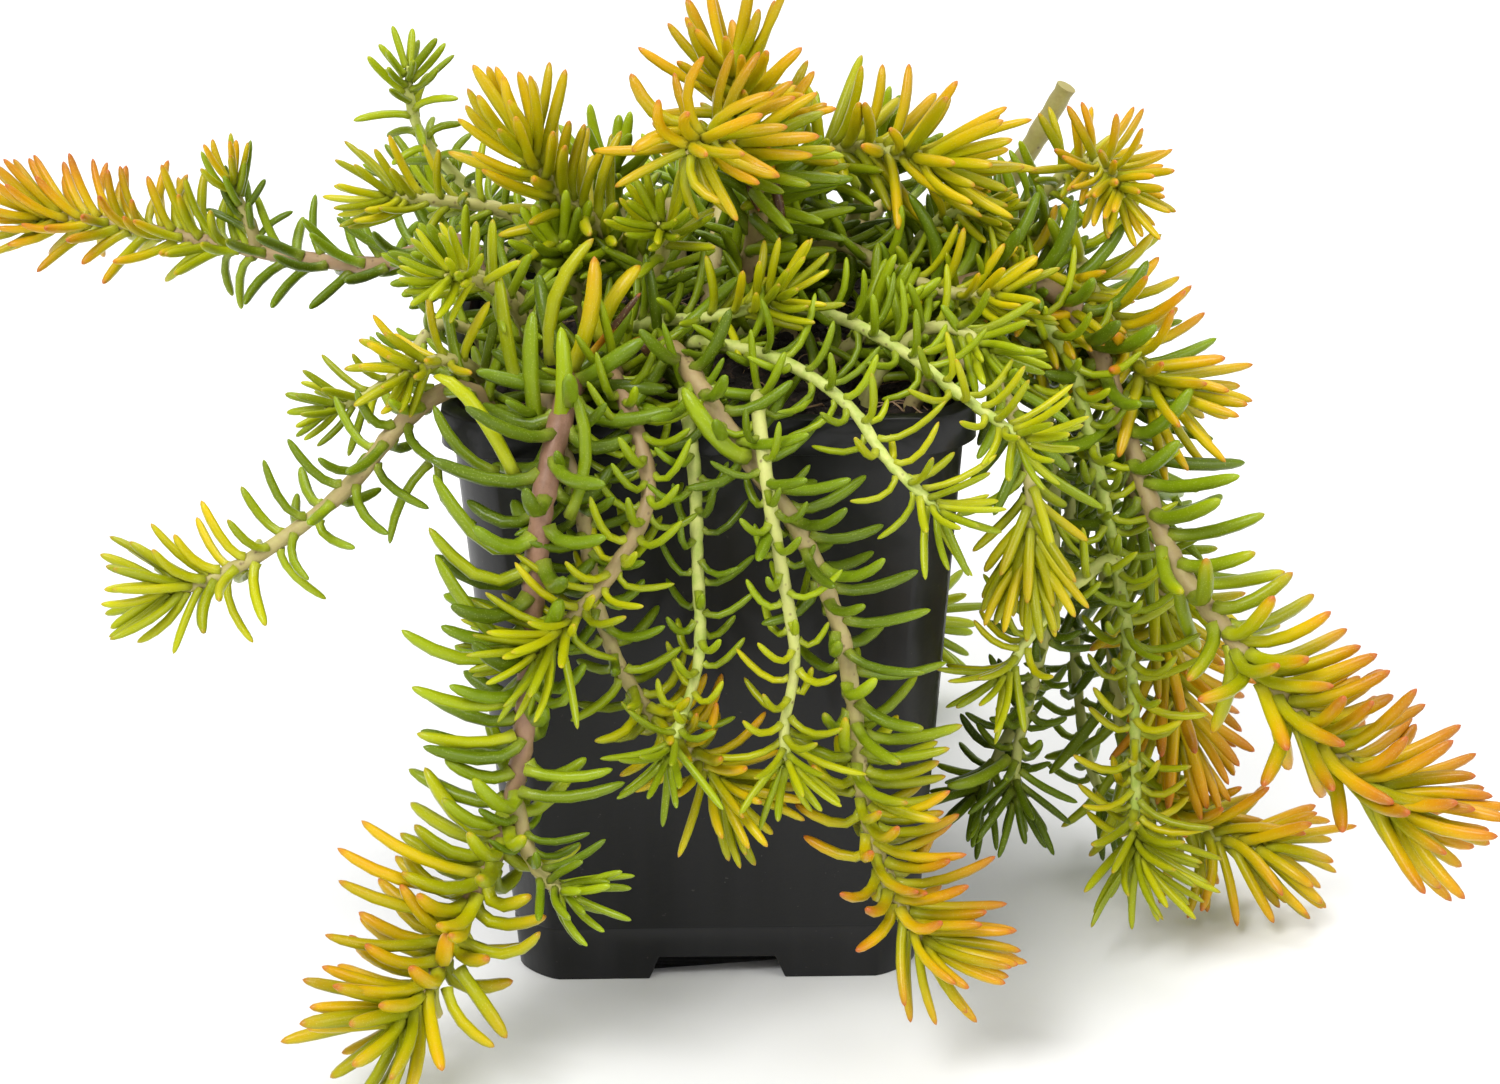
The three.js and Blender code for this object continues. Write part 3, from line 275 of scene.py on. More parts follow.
         path=[(-22, 46, 114), (-25, 57, 106), (-27, 63, 84), (-29, 66, 60), (-31, 71, 38), (-34, 77, 20),
               (-37, 82, 14)]),
    stem("back_middle", "fine", "green", foot=(-5, 30),
         path=[(-7, 44, 117), (-8, 57, 109), (-8, 63, 91), (-6, 66, 73), (-4, 70, 58)]),
    stem("back_right", "golden", "green", foot=(10, 35), glow=0.3,
         path=[(12, 47, 114), (14, 58, 104), (18, 63, 84), (22, 66, 62), (26, 70, 42), (33, 75, 25),
               (39, 81, 15)]),
    stem("back_corner", "green", "green", foot=(24, 34),
         path=[(31, 45, 115), (39, 55, 111), (47, 63, 98), (54, 70, 84), (59, 75, 76)]),
    stem("back_reach", "green", "green", foot=(0, 21),
         path=[(2, 36, 119), (2, 50, 117), (0, 62, 112), (-3, 72, 109), (-5, 80, 110)]),
    stem("back_short", "short", "lime", foot=(-34, 33),
         path=[(-42, 41, 115), (-49, 48, 117), (-54, 53, 120)]),
]


# Single leaves that the rule doesn't give: where each is rooted, where it bends, its tip, its width
# and how warm its colour is, with dry brown scraps from 1.2 up
PLACED_LEAVES = {
    "head_front_left": (
        ((-43, -76, 24), (-39, -80, 20), (-35, -82, 14), 2.6, 0.5),
        ((-45, -77, 21), (-44, -81, 16), (-37, -83, 13), 2.5, 0.46),
        ((-42.5, -75, 29), (-34, -79, 25), (-29, -80, 33), 2.5, 0.48),
        ((-42, -71, 37), (-53, -78, 40), (-62, -80, 49), 2.6, 0.56),
        ((-40, -70, 39), (-50, -77, 44), (-58, -78, 53), 2.5, 0.52),
        ((-43, -72, 33), (-53, -79, 36), (-62, -81, 43.5), 2.6, 0.54),
        ((-46, -73, 28), (-56, -80, 29), (-64.5, -83, 34.5), 2.5, 0.56),
    ),
    "stem_front_left": (
        ((-28, -49, 110), (-30, -51, 121), (-28.5, -48, 131), 3.0, 0.12),
        ((-26, -52, 107), (-22.5, -54, 117), (-24, -50, 129), 3.1, 0.14),
        ((-23, -42, 118), (-18, -45, 128), (-18.5, -41, 138), 3.1, 0.58),
        ((-26, -40, 119), (-28, -41, 132), (-18.5, -38, 140), 2.9, 0.42),
        ((-32, -40, 115), (-34, -41, 125), (-34.5, -38, 134), 2.5, 0.34),
        ((-32, -56, 105), (-39, -57, 123), (-45, -54, 122), 2.8, 0.3),
        ((-35, -54, 105), (-42, -56, 108), (-45, -54, 117), 2.4, 0.12),
        ((-23, -59, 99), (-17.5, -61, 111), (-22, -58, 121), 2.5, 0.1),
        ((-30, -62, 96), (-36, -64, 90), (-45, -62, 108), 2.9, 0.12),
        ((-30, -63, 92), (-37, -65, 85), (-46, -63, 99), 2.7, 0.3),
        ((-31, -64, 79), (-37, -67, 78), (-45, -65, 95), 2.7, 0.2),
        ((-32, -64, 78), (-40, -67, 73), (-51, -66, 82), 2.8, 0.22),
        ((-33, -66, 69), (-40, -69, 67.5), (-49.5, -69, 73), 2.7, 0.24),
        ((-33, -66, 62.5), (-40, -69, 61), (-49, -69, 64.5), 2.6, 0.3),
        ((-30, -66, 71), (-25, -70, 67), (-23, -70, 73), 2.2, 0.12),
        ((-32, -68, 53), (-24, -72, 52), (-14.5, -72, 56.5), 2.5, 0.14),
        ((-31, -68, 57), (-23, -72, 56), (-16.5, -72, 59), 2.3, 0.12),
        ((-20, -38, 119), (-16, -39, 124), (-11, -37, 130), 1.3, 1.3),
        ((-13, -40, 121), (-10, -43, 125), (-10, -40, 120), 2.6, 1.3),
    ),
    "stem_front_right": (((6, -56, 108), (2, -60, 110), (-4, -55, 120), 3.2, 0.1),),
    "stem_middle_rosette": (((-18, -34, 121), (-17, -35, 128), (-11, -32, 133), 3.0, 0.5),),
    "stem_top_front": (
        ((-2.5, -29, 157), (-9, -32, 157), (-12, -30, 166), 2.8, 0.62),
        ((-2.5, -29, 155), (-6.5, -34, 158), (-12, -35, 154), 2.6, 0.58),
        ((9, -13, 149), (12, -18, 143), (13, -18, 134), 1.9, 1.25),
        ((8, -13, 147), (6, -17, 143), (9, -17, 137), 1.5, 1.3),
    ),
    "stem_left_low": (
        ((-47, -40, 101), (-53, -44, 97), (-54, -44, 88), 1.8, 0.1),
        ((-45.5, -41, 102), (-46, -46, 94), (-39, -46, 92.5), 1.8, 0.12),
    ),
    "stem_right_dark": (((52, -12, 31), (47, -20, 30), (41, -22, 31), 2.6, 0.1),),
}


# Plain sums

def mix(a, b, t):
    return a + (b - a) * t


def clamp01(t):
    return min(1.0, max(0.0, t))


def smooth(t):
    t = clamp01(t)
    return t * t * (3 - 2 * t)


def unit(v):
    return v / max(np.linalg.norm(v), 1e-9)


class Draws:
    """Numbers that look drawn at random but come out the same each time."""

    def __init__(self, seed):
        self.state = seed * 7919 + 17
        self.next()

    def next(self):
        self.state = (self.state * 16807) % 2147483647
        return self.state / 2147483647

    def between(self, low, high):
        return low + (high - low) * self.next()


def pot_half_width(z):
    if z > POT_HEIGHT - RIM_BAND:
        return RIM_WIDTH / 2
    return mix(FOOT_WIDTH, BODY_TOP_WIDTH, clamp01(z / (POT_HEIGHT - RIM_BAND))) / 2


def cavity_half_width(z):
    return mix(FOOT_WIDTH, BODY_TOP_WIDTH, z / (POT_HEIGHT - RIM_BAND)) / 2 - WALL


def soil_level(x, y):
    across = math.cos(math.pi * x / RIM_WIDTH) * math.cos(math.pi * y / RIM_WIDTH)
    straight = math.sin(CRUMBS_ALONG * x + CRUMBS_START) * math.cos(CRUMBS_ACROSS * y)
    aslant = math.sin(CRUMBS_ASLANT[0] * x + CRUMBS_ASLANT[1] * y)
    return SOIL_EDGE_LEVEL + SOIL_MOUND * max(0, across) + SOIL_RELIEF * (straight + ASLANT_SHARE * aslant)


# Stem lines

def spaced_curve(points):
    """Points one step apart along a smooth curve through a stem's points."""
    points = np.array(points, float)
    n = len(points)
    padded = np.vstack([2 * points[0] - points[1], points, 2 * points[-1] - points[-2]])

    def at(t):
        place = np.clip(t, 0, 1) * (n - 1)
        i = np.minimum(place.astype(int), n - 2)
        w = (place - i)[:, None]
        p0, p1, p2, p3 = (padded[i + k] for k in range(4))
        start, end = 0.5 * (p2 - p0), 0.5 * (p3 - p1)
        return (p1 + start * w + (3 * p2 - 3 * p1 - 2 * start - end) * w ** 2
                + (2 * p1 - 2 * p2 + start + end) * w ** 3)

    steps = np.linspace(0, 1, n * CURVE_STEPS + 1)
    lengths = np.concatenate([[0], np.cumsum(np.linalg.norm(np.diff(at(steps), axis=0), axis=1))])
    count = max(3, int(lengths[-1] / BEAD_STEP + 0.5))
    return at(np.interp(np.linspace(0, 1, count + 1) * lengths[-1], lengths, steps))


def lay_stem(row, index):
    points = list(row["path"])
    if row["foot"]:
        x, y = row["foot"]
        level = soil_level(x, y)
        points = [(x, y, level - ROOTING_DEPTH), (x, y, level + 2)] + points
    beads = spaced_curve(points)
    if row["foot"]:
        for i in range(len(beads)):
            if i * BEAD_STEP < ROOTING_DEPTH + 1:
                beads[i, :2] = row["foot"]
    return dict(row, growth=GROWTHS[row["growth"]], beads=beads, start=beads.copy(), draws=Draws(index + 1))


def clear_of_pot(bead, radius):
    """Lifts a point over the pot's rim or moves it out past the wall, whichever is nearer."""
    room = radius + GAP + POT_ROOM
    side = 0 if abs(bead[0]) > abs(bead[1]) else 1
    reach = abs(bead[side])
    inside = reach < cavity_half_width(POT_HEIGHT) - room
    outward = pot_half_width(bead[2]) + room - reach
    upward = POT_HEIGHT + room - bead[2]
    if inside and bead[2] > SOIL_EDGE_LEVEL - room:
        bead[2] = max(bead[2], soil_level(bead[0], bead[1]) + room)
    elif outward > 0 and upward > 0:
        if upward < outward:
            bead[2] += upward
        else:
            bead[side] += math.copysign(outward, bead[side])
    bead[2] = max(bead[2], radius + GROUND_ROOM)


def bend_clear(laid):
    """Bends stems that would cross clear of each other and of the pot, with their feet left in place."""
    places = np.vstack([s["beads"] for s in laid])
    family, held, radii, spans = [], [], [], []
    names = [s["name"] for s in laid]
    for s in laid:
        last = len(s["beads"]) - 1
        start = len(family)
        spans.append((start, start + last + 1))
        for i in range(last + 1):
            family.append(names.index(s["joins"] or s["name"]))
            held.append(not s["joins"] and i * BEAD_STEP < ROOTING_DEPTH + BARE_FOOT)
            radii.append(mix(s["growth"]["foot"], s["growth"]["tip"], i / last))
    family = np.array(family)
    radii = np.array(radii)
    for (a, b), s in zip(spans, laid):
        s["beads"] = places[a:b]
    widest = 2 * radii.max() + GAP + STEM_ROOM + SEARCH_ROOM
    for _ in range(BEND_ROUNDS):
        for i in range(len(places)):
            offsets = np.abs(places[i + 1:] - places[i])
            near = np.nonzero((offsets.max(axis=1) < widest) & (family[i + 1:] != family[i]))[0]
            for j in near + i + 1:
                room = radii[i] + radii[j] + GAP + STEM_ROOM
                push = places[j] - places[i]
                if abs(push[0]) > room:
                    continue
                apart = math.sqrt(push[0] ** 2 + push[1] ** 2 + push[2] ** 2)
                if apart >= room:
                    continue
                push *= (room - apart) / max(apart, 0.01) / 2
                if not held[i]:
                    places[i] -= push
                if not held[j]:
                    places[j] += push
        for s in laid:
            ease_bends(s)
        for s in laid:
            if s["joins"]:
                parent = laid[names.index(s["joins"])]["beads"]
                away = np.linalg.norm(parent - s["start"][0], axis=1)
                s["beads"][0] = parent[int(away.argmin())]
        for i, bead in enumerate(places):
            if not held[i]:
                clear_of_pot(bead, radii[i])


def ease_bends(s):
    """Spreads the pushes along a stem, so that it keeps a smooth line."""
    beads = s["beads"]
    moved = beads - s["start"]
    for i in range(EASED_FROM_BEAD, len(beads)):
        even = (moved[i - 1] + moved[min(i + 1, len(beads) - 1)]) / 2
        beads[i] += (even - moved[i]) * EASED_SHARE


def settle(s):
    """Settles the figures that leaves are placed by, once the stem's line is fixed."""
    steps = np.diff(s["beads"], axis=0)
    s["length"] = float(np.linalg.norm(steps, axis=1).sum())
    plane = np.cross(steps[:-1], steps[1:]).sum(axis=0)
    if np.linalg.norm(plane) < 1:
        plane = np.array([1, 0.3, 0])
    s["plane"] = unit(plane)
    s["step"] = s["length"] / len(steps)


def stem_radius(s, share):
    return mix(s["growth"]["foot"], s["growth"]["tip"], share)


def place_on(s, distance):
    """A point, direction, side and radius on a stem, at a distance from its foot."""
    beads = s["beads"]
    last = len(beads) - 1
    at = min(max(distance / s["step"], 0), last - 1e-6)
    i = int(at)
    point = mix(beads[i], beads[i + 1], at - i)
    tangent = unit(beads[min(i + 2, last)] - beads[max(i - 1, 0)])
    side = unit(s["plane"] - tangent * tangent.dot(s["plane"]))
    return point, tangent, side, stem_radius(s, distance / s["length"])


# Leaves

# A leaf starts out leaning to its stem's tip, then bends away and up to the light. HABIT holds the
# ranges that are drawn from, HEAD what changes in the bunch at a stem's end, and LAST at its very tip
HABIT = dict(turn=0.3, length=(0.8, 1.12), width=(0.9, 1.08), lean=(38, 60), curl=(0.7, 1.3))
HEAD = dict(reach=15, width=0.95, lean=-14, spacing=0.42, lift=0.4)
LAST = dict(reach=3, length=0.75, lean=30)
FIRST_AFTER_JOIN = 1.5
TIP_LEFT_BARE = 0.3
ROOTED_AT = 0.7
BUSH_SPACING = 0.42
BUSH_EASE = 15.0
LEAFY_BEFORE_HEAD = 20.0
LEAFY_AT_MOST = 54.0
OUTWARD = (0.9, 0.36)
ALONG = (-0.1, 1.05)
SWEPT_FIRST = 0.15
SWEPT_FROM = 0.5
LEAST_OUTWARD = 0.3
BEND_SHARE = (0.26, 0.42)
HEAD_BEND = 0.1
LINE_STEPS = 17

# Where the warm colour begins and is full, with and without a golden head, how much light and
# shelter change it, how much more it rises at a ripe leaf's end, and the painted light that warms a leaf's
# lit side
WARM_BEFORE_HEAD = 28.0
WARM_TIP = 12.0
PLAIN_SHARE = 0.58
LIT_WARMTH = 0.1
LIT_LEAST = 0.3
# Painted light: the way to the key light, whose side of each leaf is painted warmer and paler
PAINTED_LIGHT_FROM = (0, -0.45, 0.9)
PAINTED_LIGHT_SIDE = 0.1
PAINTED_LIGHT_SIDE_LEAST = 0.35
RIPE_CURVE = 3.2
WARMEST = 0.8
INNER_GREEN = 0.05

# How much a leaf's end strays from the rule, and how far it follows the others' sweep
STRAY = (0.38, 0.2)
FOLLOWS = (0.5, 1.35)

# A leaf's half thickness along it, as shares of its length and of its half width
LEAF_PROFILE = ((0.0, 1.12), (0.1, 0.94), (0.26, 0.95), (0.48, 1.0), (0.7, 0.97), (0.86, 0.82), (0.95, 0.54),
                (0.98, 0.3))
LEAF_SIDES = 7
LEAF_FLATNESS = 0.84

# Some stems have lost half their leaves near the soil
SPARSE_FOOT = 40.0
BARE_FEET = ("front_right", "front_pale", "front_thin", "front_low", "rim_lime", "rim_right")

# What is tried to keep a leaf clear, where it is tested, and how deep it may still lie
SCALES_TRIED = (1.0, 0.8)
TURNS_TRIED = (0, 0.35, -0.35, 0.7, -0.7, 1.05, -1.05, 1.4, -1.4, 1.9, -1.9)
TESTED_AT = (0.45, 0.7, 1.0)
DEPTH_ALLOWED = 0.6


def grow_leaves(s):
    """Every leaf of a stem in the order it grew, each with draws of its own."""
    growth, draws = s["growth"], s["draws"]
    leaves = []
    if not growth["length"]:
        return leaves
    leafy = growth["bush"]
    if s["gold"]:
        leafy = max(leafy, min(s["gold"] + LEAFY_BEFORE_HEAD, LEAFY_AT_MOST))
    distance = growth["foot"] + FIRST_AFTER_JOIN if s["joins"] else ROOTING_DEPTH + BARE_FOOT
    while distance < s["length"] - TIP_LEFT_BARE:
        left = s["length"] - distance
        head = smooth(1 - left / HEAD["reach"])
        last = clamp01(left / LAST["reach"])
        turn = draws.between(-HABIT["turn"], HABIT["turn"])
        length = growth["length"] * draws.between(*HABIT["length"]) * mix(LAST["length"], 1, last)
        width = growth["width"] * draws.between(*HABIT["width"]) * mix(1, HEAD["width"], head)
        lean = draws.between(*HABIT["lean"]) + HEAD["lean"] * head + LAST["lean"] * (1 - last)
        leaves.append(dict(
            distance=distance,
            head=head,
            angle=len(leaves) * GOLDEN_ANGLE + turn,
            length=length,
            width=width,
            lean=math.radians(lean),
            curl=draws.between(*HABIT["curl"]),
            kept=len(leaves) % 2 == 0 or distance > SPARSE_FOOT or s["name"] not in BARE_FEET,
        ))
        bush = smooth((distance - s["length"] + leafy) / BUSH_EASE)
        distance += growth["spacing"] * mix(1, BUSH_SPACING, bush) * mix(1, HEAD["spacing"], head)
    return leaves


def leaf_line(s, leaf, turn=0.0, scale=1.0):
    """The line that a leaf follows: out of the stem, then turning to the tip and the light."""
    point, tangent, side, radius = place_on(s, leaf["distance"])
    angle = leaf["angle"] + turn
    outward = side * math.cos(angle) + np.cross(tangent, side) * math.sin(angle)
    head = leaf["head"]
    first = unit(outward * math.cos(leaf["lean"]) + tangent * math.sin(leaf["lean"])
                 + SWEPT_FIRST * s["sweep"])
    swept = smooth(leaf["distance"] / s["length"] / SWEPT_FROM)
    second = outward * mix(*OUTWARD, head) + tangent * mix(*ALONG, head)
    second += s["sweep"] * leaf["follows"] * swept
    second[2] += s["growth"]["lift"] * leaf["curl"] * mix(1, HEAD["lift"], head)
    second += outward * max(0, LEAST_OUTWARD - second.dot(outward))
    second = unit(second) + leaf["stray"]
    second = unit(second)
    root = point + outward * radius * ROOTED_AT
    length = leaf["length"] * scale
    bend = root + first * length * leaf["bend"]
    return root, bend, bend + second * length * (1 - leaf["bend"])


def along_line(line, t):
    root, bend, tip = line
    t = np.asarray(t)[..., None]
    return root * (1 - t) ** 2 + bend * 2 * t * (1 - t) + tip * t ** 2


def even_steps(line, shares):
    """The line's own parameter at shares of its true length."""
    t = np.linspace(0, 1, LINE_STEPS)
    steps = np.linalg.norm(np.diff(along_line(line, t), axis=0), axis=1)
    walked = np.concatenate([[0], np.cumsum(steps)])
    return np.interp(shares * walked[-1], walked, t)


def depth_in_the_way(point, radius):
    """How deep a point lies in the pot, the soil or the ground."""
    reach = max(abs(point[0]), abs(point[1]))
    deepest = radius - point[2]
    if point[2] < POT_HEIGHT + radius:
        half = pot_half_width(point[2])
        if reach > cavity_half_width(point[2]) - radius:
            deepest = max(deepest, min(half + radius - reach, POT_HEIGHT + radius - point[2]))
        else:
            deepest = max(deepest, soil_level(point[0], point[1]) + radius - point[2])
    return deepest


def settle_leaf(s, leaf):
    """Turns a leaf about its stem, or shortens it, until it is clear of the pot, soil and ground."""
    radius = leaf["width"] / 2
    best = None
    for scale in SCALES_TRIED:
        for turn in TURNS_TRIED:
            line = leaf_line(s, leaf, turn, scale)
            depth = max(depth_in_the_way(point, radius) for point in along_line(line, TESTED_AT))
            if depth < 0:
                return line
            if best is None or depth < best[0]:
                best = (depth, line)
    return best[1] if best[0] < DEPTH_ALLOWED else None


# Scene settings

class PotSettings(bpy.types.PropertyGroup):
    plastic: bpy.props.FloatVectorProperty(
        name="Plastic", description="Colour of the moulded pot", subtype="COLOR",
        default=(0.0028, 0.0028, 0.003), min=0, max=1)
    sheen: bpy.props.FloatProperty(
        name="Roughness", description="How dull the plastic is", subtype="FACTOR",
        default=0.42, min=0, max=1)
    edge: bpy.props.FloatProperty(
        name="Edge rounding", description="Width of the rounding along the moulded edges",
        subtype="DISTANCE", unit="LENGTH", default=0.0004, min=0, max=0.002)
    dust: bpy.props.FloatProperty(
        name="Dust", description="How much pale dust clings to the plastic", subtype="FACTOR",
        default=0.25, min=0, max=1)


class SoilSettings(bpy.types.PropertyGroup):
    peat: bpy.props.FloatVectorProperty(
        name="Peat", description="Colour of the damp peat", subtype="COLOR",
        default=(0.020, 0.0115, 0.007), min=0, max=1)
    crumbs: bpy.props.IntProperty(
        name="Crumbs", description="How many loose crumbs lie on the soil", default=900, min=0, max=3000)
    fibres: bpy.props.IntProperty(
        name="Root fibres", description="How many fine roots show on the soil", default=180, min=0, max=500)


class LeafSettings(bpy.types.PropertyGroup):
    plumpness: bpy.props.FloatProperty(
        name="Plumpness", description="How full the leaves are, against a healthy leaf", subtype="FACTOR",
        default=1.0, min=0.5, max=1.5)
    waxiness: bpy.props.FloatProperty(
        name="Roughness", description="How dull the leaves' wax is", subtype="FACTOR",
        default=0.3, min=0, max=1)
    blemishes: bpy.props.FloatProperty(
        name="Blemishes", description="How many brown spots the leaves have", subtype="FACTOR",
        default=0.5, min=0, max=1)


class StudioSettings(bpy.types.PropertyGroup):
    floor: bpy.props.FloatVectorProperty(
        name="Floor", description="Colour of the floor", subtype="COLOR", default=(0.86, 0.86, 0.86),
        min=0, max=1)
    key: bpy.props.FloatProperty(
        name="Key light", description="Power of the large light above the viewer", unit="POWER",
        default=20.5, min=0, max=200)
    sky: bpy.props.FloatProperty(
        name="Surrounding light", description="Strength of the even light from all around",
        default=0.62, min=0, max=5)


# Materials

class Shading:
    """Adds nodes to a material or a node group, with each input set to a value or linked to a socket."""

    def __init__(self, tree):
        self.nodes = tree.nodes
        self.links = tree.links

    def feed(self, socket, value):
        if hasattr(value, "is_linked"):
            self.links.new(value, socket)
        elif socket.type == "RGBA":
            socket.default_value = (*value, 1)
        else:
            socket.default_value = value

    def add(self, kind, inputs, **options):
        node = self.nodes.new("ShaderNode" + kind)
        for name, value in options.items():
            setattr(node, name, value)
        for name, value in inputs.items():
            self.feed(node.inputs[name], value)
        return node

    def surface(self, inputs):
        """Feeds the material's own shader."""
        shader = self.nodes["Principled BSDF"]
        for name, value in inputs.items():
            self.feed(shader.inputs[name], value)

    def place(self):
        return self.add("TexCoord", {}).outputs["Object"]

    def attribute(self, name):
        return self.add("Attribute", {}, attribute_name=name).outputs["Fac"]

    def figure(self, operation, *values, clamp=False):
        return self.add("Math", dict(enumerate(values)), operation=operation, use_clamp=clamp).outputs[0]

    def varied(self, value, source, spread):
        """A value moved up and down by how far a source lies from its middle, 0.5."""
        return self.figure("MULTIPLY_ADD", self.figure("SUBTRACT", source, 0.5), spread, value)

    def ranged(self, value, low, high, start=0.0, end=1.0):
        """A value between start and end, moved to between low and high."""
        inputs = {"Value": value, "From Min": start, "From Max": end, "To Min": low, "To Max": high}
        return self.add("MapRange", inputs).outputs["Result"]

    def mixed(self, share, first, second, blend="MIX"):
        node = self.add("Mix", {0: share, 6: first, 7: second}, data_type="RGBA", blend_type=blend)
        return node.outputs[2]

    def ramp(self, value, *stops):
        """A colour between stops, each a place from 0 to 1 and a colour."""
        node = self.add("ValToRGB", {"Fac": value})
        elements = node.color_ramp.elements
        elements.remove(elements[-1])
        elements[0].position = stops[0][0]
        elements[0].color = (*stops[0][1], 1)
        for place, colour in stops[1:]:
            elements.new(place).color = (*colour, 1)
        return node.outputs["Color"]

    def fade(self, value, *stops):
        """A mask between stops, each a place from 0 to 1 and a strength."""
        return self.ramp(value, *((place, (strength,) * 3) for place, strength in stops))

    def noise(self, place, scale, detail, roughness):
        inputs = {"Vector": place, "Scale": scale, "Detail": detail, "Roughness": roughness}
        return self.add("TexNoise", inputs).outputs["Fac"]

    def cells(self, place, scale):
        return self.add("TexVoronoi", {"Vector": place, "Scale": scale}).outputs["Distance"]

    def relief(self, height, strength, distance):
        inputs = {"Height": height, "Strength": strength, "Distance": distance}
        return self.add("Bump", inputs).outputs["Normal"]


def new_material(name):
    material = bpy.data.materials.new(name)
    material.use_nodes = True
    return material, Shading(material.node_tree)


# Leaf colours from the coolest to the warmest, and the warmth that the first and the last stand for
LEAF_COLOURS = (
    (0.0, (0.052, 0.088, 0.003)),
    (0.20, (0.150, 0.225, 0.004)),
    (0.38, (0.285, 0.360, 0.004)),
    (0.52, (0.415, 0.410, 0.002)),
    (0.62, (0.530, 0.390, 0.002)),
    (0.73, (0.560, 0.300, 0.002)),
    (0.86, (0.480, 0.190, 0.005)),
    (0.965, (0.360, 0.120, 0.010)),
    (1.0, (0.085, 0.038, 0.017)),
)
COLOURED_FROM = -0.22
COLOURED_TO = 1.08
PALE_ROOT = (0.40, 0.44, 0.06)
PALE_DOT = (0.60, 0.66, 0.18)
RED_TIP = (0.42, 0.10, 0.025)
BROWN_MARK = (0.19, 0.075, 0.025)

# Stem colours from the youngest to the oldest
SKIN_COLOURS = (
    (0.0, (0.34, 0.44, 0.06)),
    (0.12, (0.54, 0.57, 0.16)),
    (0.3, (0.46, 0.43, 0.14)),
    (0.6, (0.35, 0.25, 0.11)),
    (0.85, (0.31, 0.17, 0.105)),
    (1.0, (0.21, 0.105, 0.06)),
)
SCAR = (0.15, 0.09, 0.04)
OLD_BARK = (0.55, 0.5, 0.45)


def flesh_group():
    """Leaf colour from warmth, place along the leaf and a tone of its own, with pale dots and marks."""
    group = bpy.data.node_groups.new("Leaf flesh", "ShaderNodeTree")
    face = group.interface
    for name, default in (("Warmth", 0.2), ("Along", 0.5), ("Tone", 0.5), ("Blemishes", 0.5)):
        socket = face.new_socket(name, in_out="INPUT", socket_type="NodeSocketFloat")
        socket.default_value = default
    face.new_socket("Place", in_out="INPUT", socket_type="NodeSocketVector")
    face.new_socket("Colour", in_out="OUTPUT", socket_type="NodeSocketColor")
    face.new_socket("Spots", in_out="OUTPUT", socket_type="NodeSocketFloat")
    face.new_socket("Relief", in_out="OUTPUT", socket_type="NodeSocketFloat")
    given = group.nodes.new("NodeGroupInput").outputs
    out = group.nodes.new("NodeGroupOutput").inputs
    leaf = Shading(group)
    warmth, along, tone, place = (given[name] for name in ("Warmth", "Along", "Tone", "Place"))
    patches = leaf.noise(place, 160.0, 3.0, 0.6)
    # A warm leaf is greener at its root and warmer at its tip, and each leaf varies a little
    rise = leaf.figure("SUBTRACT", leaf.figure("POWER", along, 1.3), 0.6)
    reach = leaf.figure("MULTIPLY_ADD", warmth, 1.05, -0.4, clamp=True)
    warm = leaf.figure("MULTIPLY_ADD", rise, reach, warmth)
    warm = leaf.varied(warm, tone, 0.13)
    warm = leaf.varied(warm, patches, 0.15)
    colour = leaf.ramp(leaf.ranged(warm, 0.0, 1.0, COLOURED_FROM, COLOURED_TO), *LEAF_COLOURS)
    colour = leaf.mixed(1.0, colour, leaf.ranged(tone, 0.74, 1.12), "MULTIPLY")
    colour = leaf.mixed(leaf.fade(along, (0.0, 0.45), (0.22, 0.0)), colour, PALE_ROOT)
    dots = leaf.fade(leaf.cells(place, 2100.0), (0.10, 0.26), (0.30, 0.0))
    colour = leaf.mixed(dots, colour, PALE_DOT)
    redness = leaf.figure("MULTIPLY_ADD", warmth, 2.2, -0.45, clamp=True)
    tip = leaf.figure("MULTIPLY", leaf.fade(along, (0.93, 0.0), (0.99, 0.85)), redness, clamp=True)
    colour = leaf.mixed(tip, colour, RED_TIP)
    marks = leaf.fade(leaf.noise(place, 330.0, 4.0, 0.7), (0.69, 0.0), (0.74, 1.0))
    spots = leaf.figure("MULTIPLY", marks, given["Blemishes"], clamp=True)
    colour = leaf.mixed(spots, colour, BROWN_MARK)
    leaf.feed(out["Colour"], colour)
    leaf.feed(out["Spots"], spots)
    leaf.feed(out["Relief"], leaf.figure("MULTIPLY_ADD", patches, 1.2, dots))
    return group


def leaf_material(settings):
    """Waxy leaf flesh that lets a little light through."""
    material, leaf = new_material("Leaf")
    inputs = {"Place": leaf.place(), "Blemishes": settings.blemishes * 0.35}
    for name in ("Warmth", "Along", "Tone"):
        inputs[name] = leaf.attribute(name.lower())
    flesh = leaf.add("Group", inputs, node_tree=flesh_group()).outputs
    leaf.surface({
        "Base Color": flesh["Colour"],
        "Roughness": leaf.ranged(flesh["Spots"], settings.waxiness, 0.8),
        "Normal": leaf.relief(flesh["Relief"], 0.35, 0.00025),
        "Subsurface Weight": 0.18,
        "Subsurface Radius": (1.0, 1.0, 0.1),
        "Subsurface Scale": 0.0012,
        "Specular IOR Level": 0.27,
    })
    return material


def skin_material():
    """Stem skin: pale green when young, pinkish tan and scarred when old."""
    material, skin = new_material("Stem skin")
    place = skin.place()
    streaks = skin.noise(place, 420.0, 5.0, 0.65)
    colour = skin.ramp(skin.varied(skin.attribute("warmth"), streaks, 0.4), *SKIN_COLOURS)
    scars = skin.fade(skin.cells(place, 420.0), (0.06, 0.75), (0.16, 0.0))
    colour = skin.mixed(scars, colour, SCAR)
    colour = skin.mixed(skin.attribute("tone"), colour, OLD_BARK, "MULTIPLY")
    skin.surface({"Base Color": colour, "Roughness": 0.55, "Normal": skin.relief(streaks, 0.6, 0.0004)})
    return material


